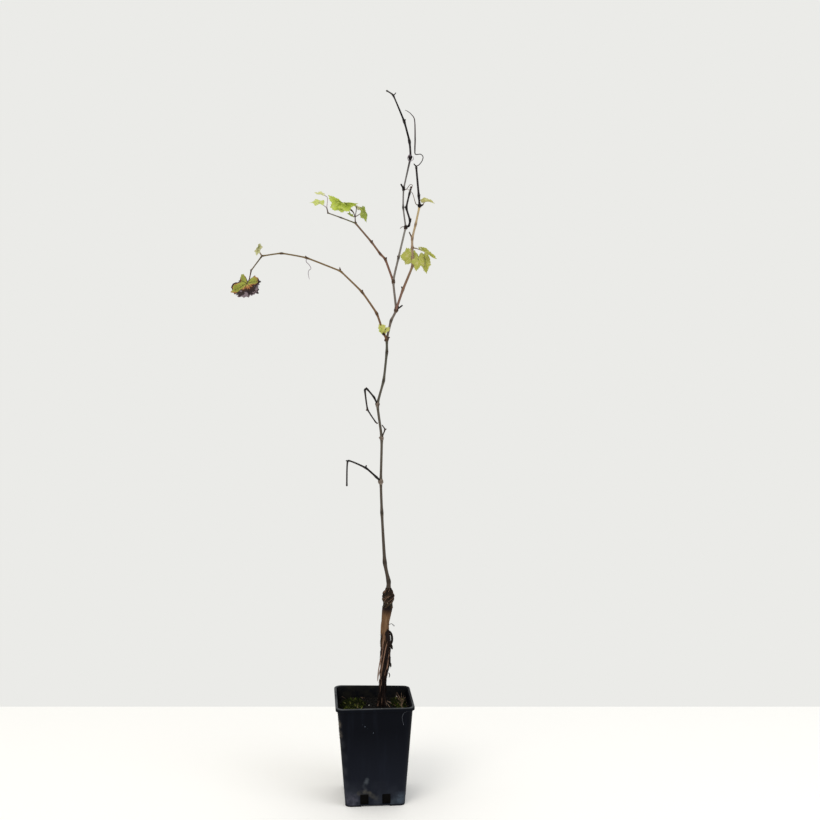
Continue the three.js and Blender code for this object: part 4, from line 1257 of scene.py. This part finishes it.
def leaf_surface(at, leaf):
    """The curved sheet that a leaf's blade and veins lie on: a function of the
    angle from its midrib and the share of its reach."""
    midrib = heading(leaf["lean"], leaf["back"])
    face = np.array([0.0, -1.0, 0.0])
    face = face - face.dot(midrib) * midrib
    face /= np.linalg.norm(face)
    roll = math.radians(leaf["roll"])
    face = face * math.cos(roll) + np.cross(midrib, face) * math.sin(roll)
    side = np.cross(face, midrib)
    reach, fold = leaf["reach"], math.radians(leaf["fold"])

    def surface(angle, share, off=0.0):
        far = reach * share * edge_reach(angle, leaf["cut"])
        along, across = far * np.cos(angle), far * np.sin(angle) * leaf["spread"]
        lift = np.abs(across) * math.sin(fold)
        droop = (leaf["curl"] * along * np.abs(along) + leaf["sag"] * across**2) / reach
        ripple = leaf["wave"] * reach * share**2 * np.sin(5 * angle + leaf["turn"])
        away = np.min([np.abs(np.degrees(angle) - v) for v in VEINS], axis=0)
        quilt = 0.022 * reach * share * (1 - np.exp(-((away / 11) ** 2)))
        crease = leaf["crumple"] * reach * share * (
            lumps(along / 7 + 3, across / 7, leaf["turn"]) + 0.2 * lumps(along / 3, across / 3, 4.2)
        )
        height = lift - droop + ripple + quilt + crease + off
        return (
            np.array(at) + np.asarray(along)[..., None] * midrib
            + np.asarray(across * math.cos(fold))[..., None] * side
            + np.asarray(height)[..., None] * face
        )

    return surface


def blade(at, leaf, tones):
    """A toothed blade: a grid drawn in to the stalk, thickened to a thin sheet.
    tones(angle, share) deals out its materials by number."""
    around, out = 156, 12
    surface = leaf_surface(at, leaf)
    angle = np.linspace(-math.pi, math.pi, around + 1)
    share = np.linspace(0, 1, out + 1) ** 0.85
    place = surface(angle[None, :] + 0 * share[:, None], share[:, None] + 0 * angle[None, :])
    bpy.ops.mesh.primitive_grid_add(x_subdivisions=around, y_subdivisions=out, size=1)
    piece = bpy.context.object
    mesh = piece.data
    mesh.vertices.foreach_set("co", (place * MM).reshape(-1))
    middle = (angle[1:] + angle[:-1]) / 2
    level = (share[1:] + share[:-1]) / 2
    dealt = tones(middle[None, :] + 0 * level[:, None], level[:, None] + 0 * middle[None, :])
    mesh.polygons.foreach_set("material_index", dealt.astype(int).reshape(-1))
    edit(lambda: bpy.ops.mesh.remove_doubles(threshold=2e-6))
    sheet = piece.modifiers.new("thickness", "SOLIDIFY")
    sheet.thickness, sheet.offset = BLADE_THICKNESS * MM, 0.0
    bpy.ops.object.modifier_apply(modifier=sheet.name)
    bpy.ops.object.shade_smooth()
    return piece


def leaf_veins(at, leaf, material):
    """Five main veins from the stalk and their side veins, standing a little
    proud of the blade on both of its faces."""
    surface = leaf_surface(at, leaf)
    made = []
    for main in VEINS:
        a = math.radians(main)
        share = np.linspace(0.02, 0.93, 12)
        made.append((surface(a + 0 * share, share), 0.016 * leaf["reach"]))
        if leaf["reach"] < 15:
            continue
        for number, at_share in enumerate((0.18, 0.36, 0.54, 0.72)):
            for sign in (-1, 1):
                run = np.linspace(0, 1, 5)
                aside = a + sign * np.radians(21 - 2 * number) * run
                made.append((surface(aside, at_share + 0.24 * run), 0.008 * leaf["reach"]))
    threads = []
    for number, (points, radius) in enumerate(made):
        course = Course(list(points), 0.5)
        threads.append(wind(
            f"vein_{number}", course,
            lambda s, angle, r=radius, c=course: r * (1 - 0.65 * s / c.length) + 0 * angle,
            5, 2.2, material,
        ))
    return join("veins", threads)


STALK = [0.8, 0.65]
TWIG = [1.3, 0.9]
# Skins of a mass's twig and of its leaf stalks, where they aren't the plain stalk.
STALK_SKIN = {
    "foliage_withered": ("stalk_dark", "stalk_dark"),
    "foliage_upper_left_tip": ("stalk_dark", "stalk_pale"),
    "foliage_upper_left_lateral": ("stalk_dark", "stalk_dark"),
}
# Each mass: (from, its twig's internodes, its leaves).
FOLIAGE = {
    "foliage_fork": (("left_shoot_rising", 1), [[6, 0, -50]], [
        dict(petiole=[[7, -40, -24]], lean=41, back=-36, roll=-35, reach=12, spread=1.15, fold=19,
             curl=0.23, turn=1, cut=1.05, skin="butter"),
        dict(petiole=[[6, 37, -38]], lean=100, back=-35, roll=-34, reach=11, spread=1.15, fold=-20,
             curl=-0.16, cut=1.6, skin="butter"),
        dict(petiole=[[7, -93, -34]], lean=-38, back=-28, roll=34, reach=12, spread=0.55, fold=26,
             curl=-0.12, cut=1.0, skin="lime"),
    ]),
    "foliage_left_end": (("left_shoot_level", 3), [[10, -31, -4]], [
        dict(petiole=[[6, -21, -5]], lean=21, back=25, roll=34, reach=10, spread=1.1, fold=50,
             curl=-0.25, cut=1.0, skin="wan"),
        dict(petiole=[[2, -52, -23]], lean=-158, back=-22, roll=21, reach=10, spread=0.83, fold=19,
             curl=0.23, skin="wan"),
    ]),
    "foliage_withered": (("left_shoot_drooping", 1), [[16, -168, -6]], [
        dict(petiole=[[9, -147, -7]], lean=-165, back=-27, roll=20, reach=41, spread=0.96, fold=-9,
             curl=-0.45, sag=0.2, wave=0.16, turn=2, cut=1.4, crumple=0.1, skin="withered"),
    ]),
    "foliage_upper_left_tip": (("upper_left_twig", 2), [[11, -13, 18]], [
        dict(petiole=[[17, -54, -17]], lean=-86, back=3, roll=50, reach=21, spread=0.58, fold=3,
             curl=0.1, cut=1.0, skin="lime"),
        dict(petiole=[[22, 4, 24], [12, -60, 5]], lean=-83, back=-2, roll=63, reach=16, spread=0.66,
             fold=12, curl=-0.07, turn=2, cut=1.6, skin="pale"),
    ]),
    "foliage_upper_left_lateral": (("upper_left_shoot", 4), [[12, -2, 9]], [
        dict(petiole=[[12, -27, 6], [25, -59, 3]], lean=-54, back=-13, roll=-34, reach=32,
             spread=0.76, fold=36, curl=0.06, wave=0.06, turn=1, skin="fresh"),
        dict(petiole=[[12, -22, 6], [23, -47, -8]], lean=90, back=-23, roll=37, reach=31,
             spread=0.77, fold=55, curl=-0.05, wave=0.06, turn=1, cut=1.05, skin="fresh"),
        dict(petiole=[[20, 60, -8]], lean=165, back=-24, roll=35, reach=25, spread=0.5, fold=30,
             turn=1, cut=1.0, skin="deep"),
        dict(petiole=[[14, 12, 34], [12, 6, 30]], lean=116, back=12, roll=83, reach=22, fold=6,
             skin="wan"),
        dict(petiole=[[9, -78, -31]], lean=-67, back=-31, roll=68, reach=12, spread=0.82, fold=26,
             curl=-0.12, skin="deep"),
    ]),
    "foliage_right_behind": (("right_shoot", 2), [[6, -30, 60]], [
        dict(petiole=[[18, 1, 39]], lean=-85, back=22, roll=3, reach=24, spread=0.93, fold=6,
             curl=0.15, cut=1.0, skin="olive"),
    ]),
    "foliage_right_hanging": (("right_shoot", 2), [[8, 40, -20]], [
        dict(petiole=[[9, 38, -19]], lean=-168, back=-27, roll=6, reach=30, spread=0.6, fold=9,
             curl=-0.16, skin="olive"),
        dict(petiole=[[14, 48, 4], [8, 114, 9]], lean=175, back=-25, roll=4, reach=33, spread=0.46,
             fold=17, curl=-0.14, cut=1.0, skin="olive"),
    ]),
    "foliage_right_upper": (("right_shoot", 3), [[8, 100, -20]], [
        dict(petiole=[[15, 112, -26]], lean=122, back=-16, roll=-40, reach=30, spread=0.34, fold=50,
             cut=1.5, skin="olive"),
    ]),
    "foliage_right_top": (("right_shoot", 6), [[7, 70, 8]], [
        dict(petiole=[[5, 26, -1]], lean=76, back=10, roll=-60, reach=20, spread=0.6, fold=45,
             curl=0.42, cut=1.4, skin="straw"),
    ]),
}
# Each skin mottled with a lighter and a darker one.
MOTTLE = {
    "pale": ("pale", "pale", "lime"), "butter": ("pale", "butter", "olive"),
    "lime": ("pale", "lime", "fresh"), "fresh": ("lime", "fresh", "deep"),
    "olive": ("straw", "olive", "deep"), "straw": ("pale", "straw", "olive"),
    "wan": ("pale", "wan", "deep"), "deep": ("olive", "deep", "shade"),
}
SKINS = ["pale", "butter", "lime", "fresh", "olive", "straw", "wan", "deep", "shade"]
WITHERED = ["moss", "amber", "rust", "umber", "plum", "painted_lavender_sheen"]


def green_tones(skin):
    """Deals a lighter and a darker tone out in soft patches."""
    light, body, dark = [SKINS.index(key) for key in MOTTLE[skin]]

    def tones(angle, share):
        x, y = share * np.cos(angle) * 5, share * np.sin(angle) * 5
        patch = lumps(x, y, body + 0.5) + 0.5 * lumps(x * 2.6, y * 2.6, body + 4.5)
        return np.select([patch > 0.4, patch < -0.56], [light, dark], body)

    return tones


def withered_tones(angle, share):
    """Death creeps in from the lower edge: green is left in the left lobe and
    along both upper lobes, and a rusty band runs below them on the right."""
    degrees = np.degrees(angle)
    left = 0.72 * np.exp(-(((degrees + 58) / 27) ** 2))
    above = 0.85 * np.exp(-(((degrees + 142) / 26) ** 2)) + 0.42 * np.exp(-(((degrees + 98) / 14) ** 2))
    right = 0.72 * np.exp(-(((degrees - 130) / 30) ** 2))
    limit = 0.24 + left + above + right
    ragged = 0.1 * lumps(degrees / 13, share * 6, 2.0) + 0.07 * lumps(degrees / 5, share * 14, 5.0)
    band = 0.35 + 0.8 * np.exp(-(((degrees - 45) / 50) ** 2))
    past = (share - limit + ragged) / band
    # Patches of the dead part take the pale lavender tone as a painted highlight.
    painted_highlight_area = lumps(degrees / 16, share * 9, 8.0) > 0.22
    return np.where(painted_highlight_area & (past > 0.45), 5, np.digitize(past, [-0.12, 0.0, 0.14, 0.3]))


def make_foliage():
    """Grows each mass on from its limb: the twig, and a stalk, blade and veins
    for each leaf."""
    blades, stalks, veins = [], [], []
    for name, (foot, twig, leaves) in FOLIAGE.items():
        stem = joints(grown[foot[0]][foot[1]], twig)
        course = Course(stem)
        withered = name == "foliage_withered"
        bark, skin = [LEAF[key] for key in STALK_SKIN.get(name, ("stalk", "stalk"))]
        stalks.append(wind(f"{name}_twig", course, tapered(TWIG, course, 0.2), 10, 1.5, bark))
        for number, given in enumerate(leaves):
            leaf = {**FLAT_LEAF, **given}
            stalk = joints(stem[-1], leaf["petiole"])
            end = stalk[-1]
            root = end + heading(leaf["lean"], leaf["back"]) * 0.12 * leaf["reach"]
            line = Course([*stalk, root], 0.4)
            reach = tapered(STALK, line, 0.15)
            stalks.append(wind(f"{name}_stalk_{number}", line, reach, 8, 1.5, skin))
            if withered:
                piece = blade(end, leaf, withered_tones)
                finished("withered_leaf", [LEAF[key] for key in WITHERED])
                dress(piece, "withered", name)
                vein = leaf_veins(end, leaf, LEAF["umber"])
                vein.name = vein.data.name = "withered_leaf_veins"
                dress(vein, "withered")
            else:
                piece = blade(end, leaf, green_tones(leaf["skin"]))
                blades.append(finished(f"{name}_{number}", [LEAF[key] for key in SKINS]))
                veins.append(leaf_veins(end, leaf, LEAF["vein"]))
    green = [name for name in FOLIAGE if name != "foliage_withered"]
    dress(join("vine_leaves", blades), "leaf", *green)
    dress(join("leaf_stalks", stalks), "cane")
    dress(join("leaf_veins", veins), "leaf")


make_foliage()


# ------------------------------------------------------- floor, light and camera


def softbox(name, place, turn, size, power, colour):
    """A square panel of light: place and size in metres, turn in degrees."""
    bpy.ops.object.light_add(type="AREA", location=place, rotation=[math.radians(a) for a in turn])
    lamp = bpy.context.object
    lamp.name = name
    lamp.data.shape = "RECTANGLE"
    lamp.data.size, lamp.data.size_y = size
    lamp.data.energy = power
    lamp.data.color = linear(colour)[:3]


def set_stage():
    """A white floor that ends behind the pot, before a plain bright world background, two
    softboxes, and the camera. Sizes are in metres."""
    turn = math.radians(-4.5)  # how far the camera is turned from the pot's front
    wide, deep, far_edge = 5.2, 3.6, 0.52
    bpy.ops.mesh.primitive_plane_add(size=1)
    floor = bpy.context.object
    floor.scale = (wide, deep, 1)
    floor.rotation_euler = (0, 0, turn)
    middle = far_edge - deep / 2
    floor.location = (-middle * math.sin(turn), middle * math.cos(turn), 0)
    bpy.ops.object.transform_apply(location=True, rotation=True, scale=True)
    paint, tree, shader = start("white_studio_floor", 0.7, Specular_IOR_Level=0.2)
    shader.inputs["Base Color"].default_value = linear("fdfcfa")
    finished("studio_floor", [paint])

    world = bpy.data.worlds.new("studio")
    world.use_nodes = True
    bpy.context.scene.world = world
    sky = world.node_tree.nodes["Background"]
    sky.inputs["Color"].default_value = linear("ebebe8")
    sky.inputs["Strength"].default_value = 1.0
    softbox("key_softbox", (-1.6, -2.4, 2.9), (42, 0, -34), (1.8, 1.8), 41, "fffaf2")
    softbox("fill_softbox", (2.0, -1.6, 1.8), (62, 0, 52), (1.6, 1.6), 16, "f4f7ff")

    bpy.ops.object.camera_add(
        location=(-0.1243, -2.4789, 1.022), rotation=(math.radians(83.88), 0, turn)
    )
    camera = bpy.context.object
    camera.data.lens = 57.86
    camera.data.sensor_width = 36
    bpy.context.scene.camera = camera
    bpy.context.scene.view_settings.view_transform = "Standard"


set_stage()

bpy.context.view_layer.update()
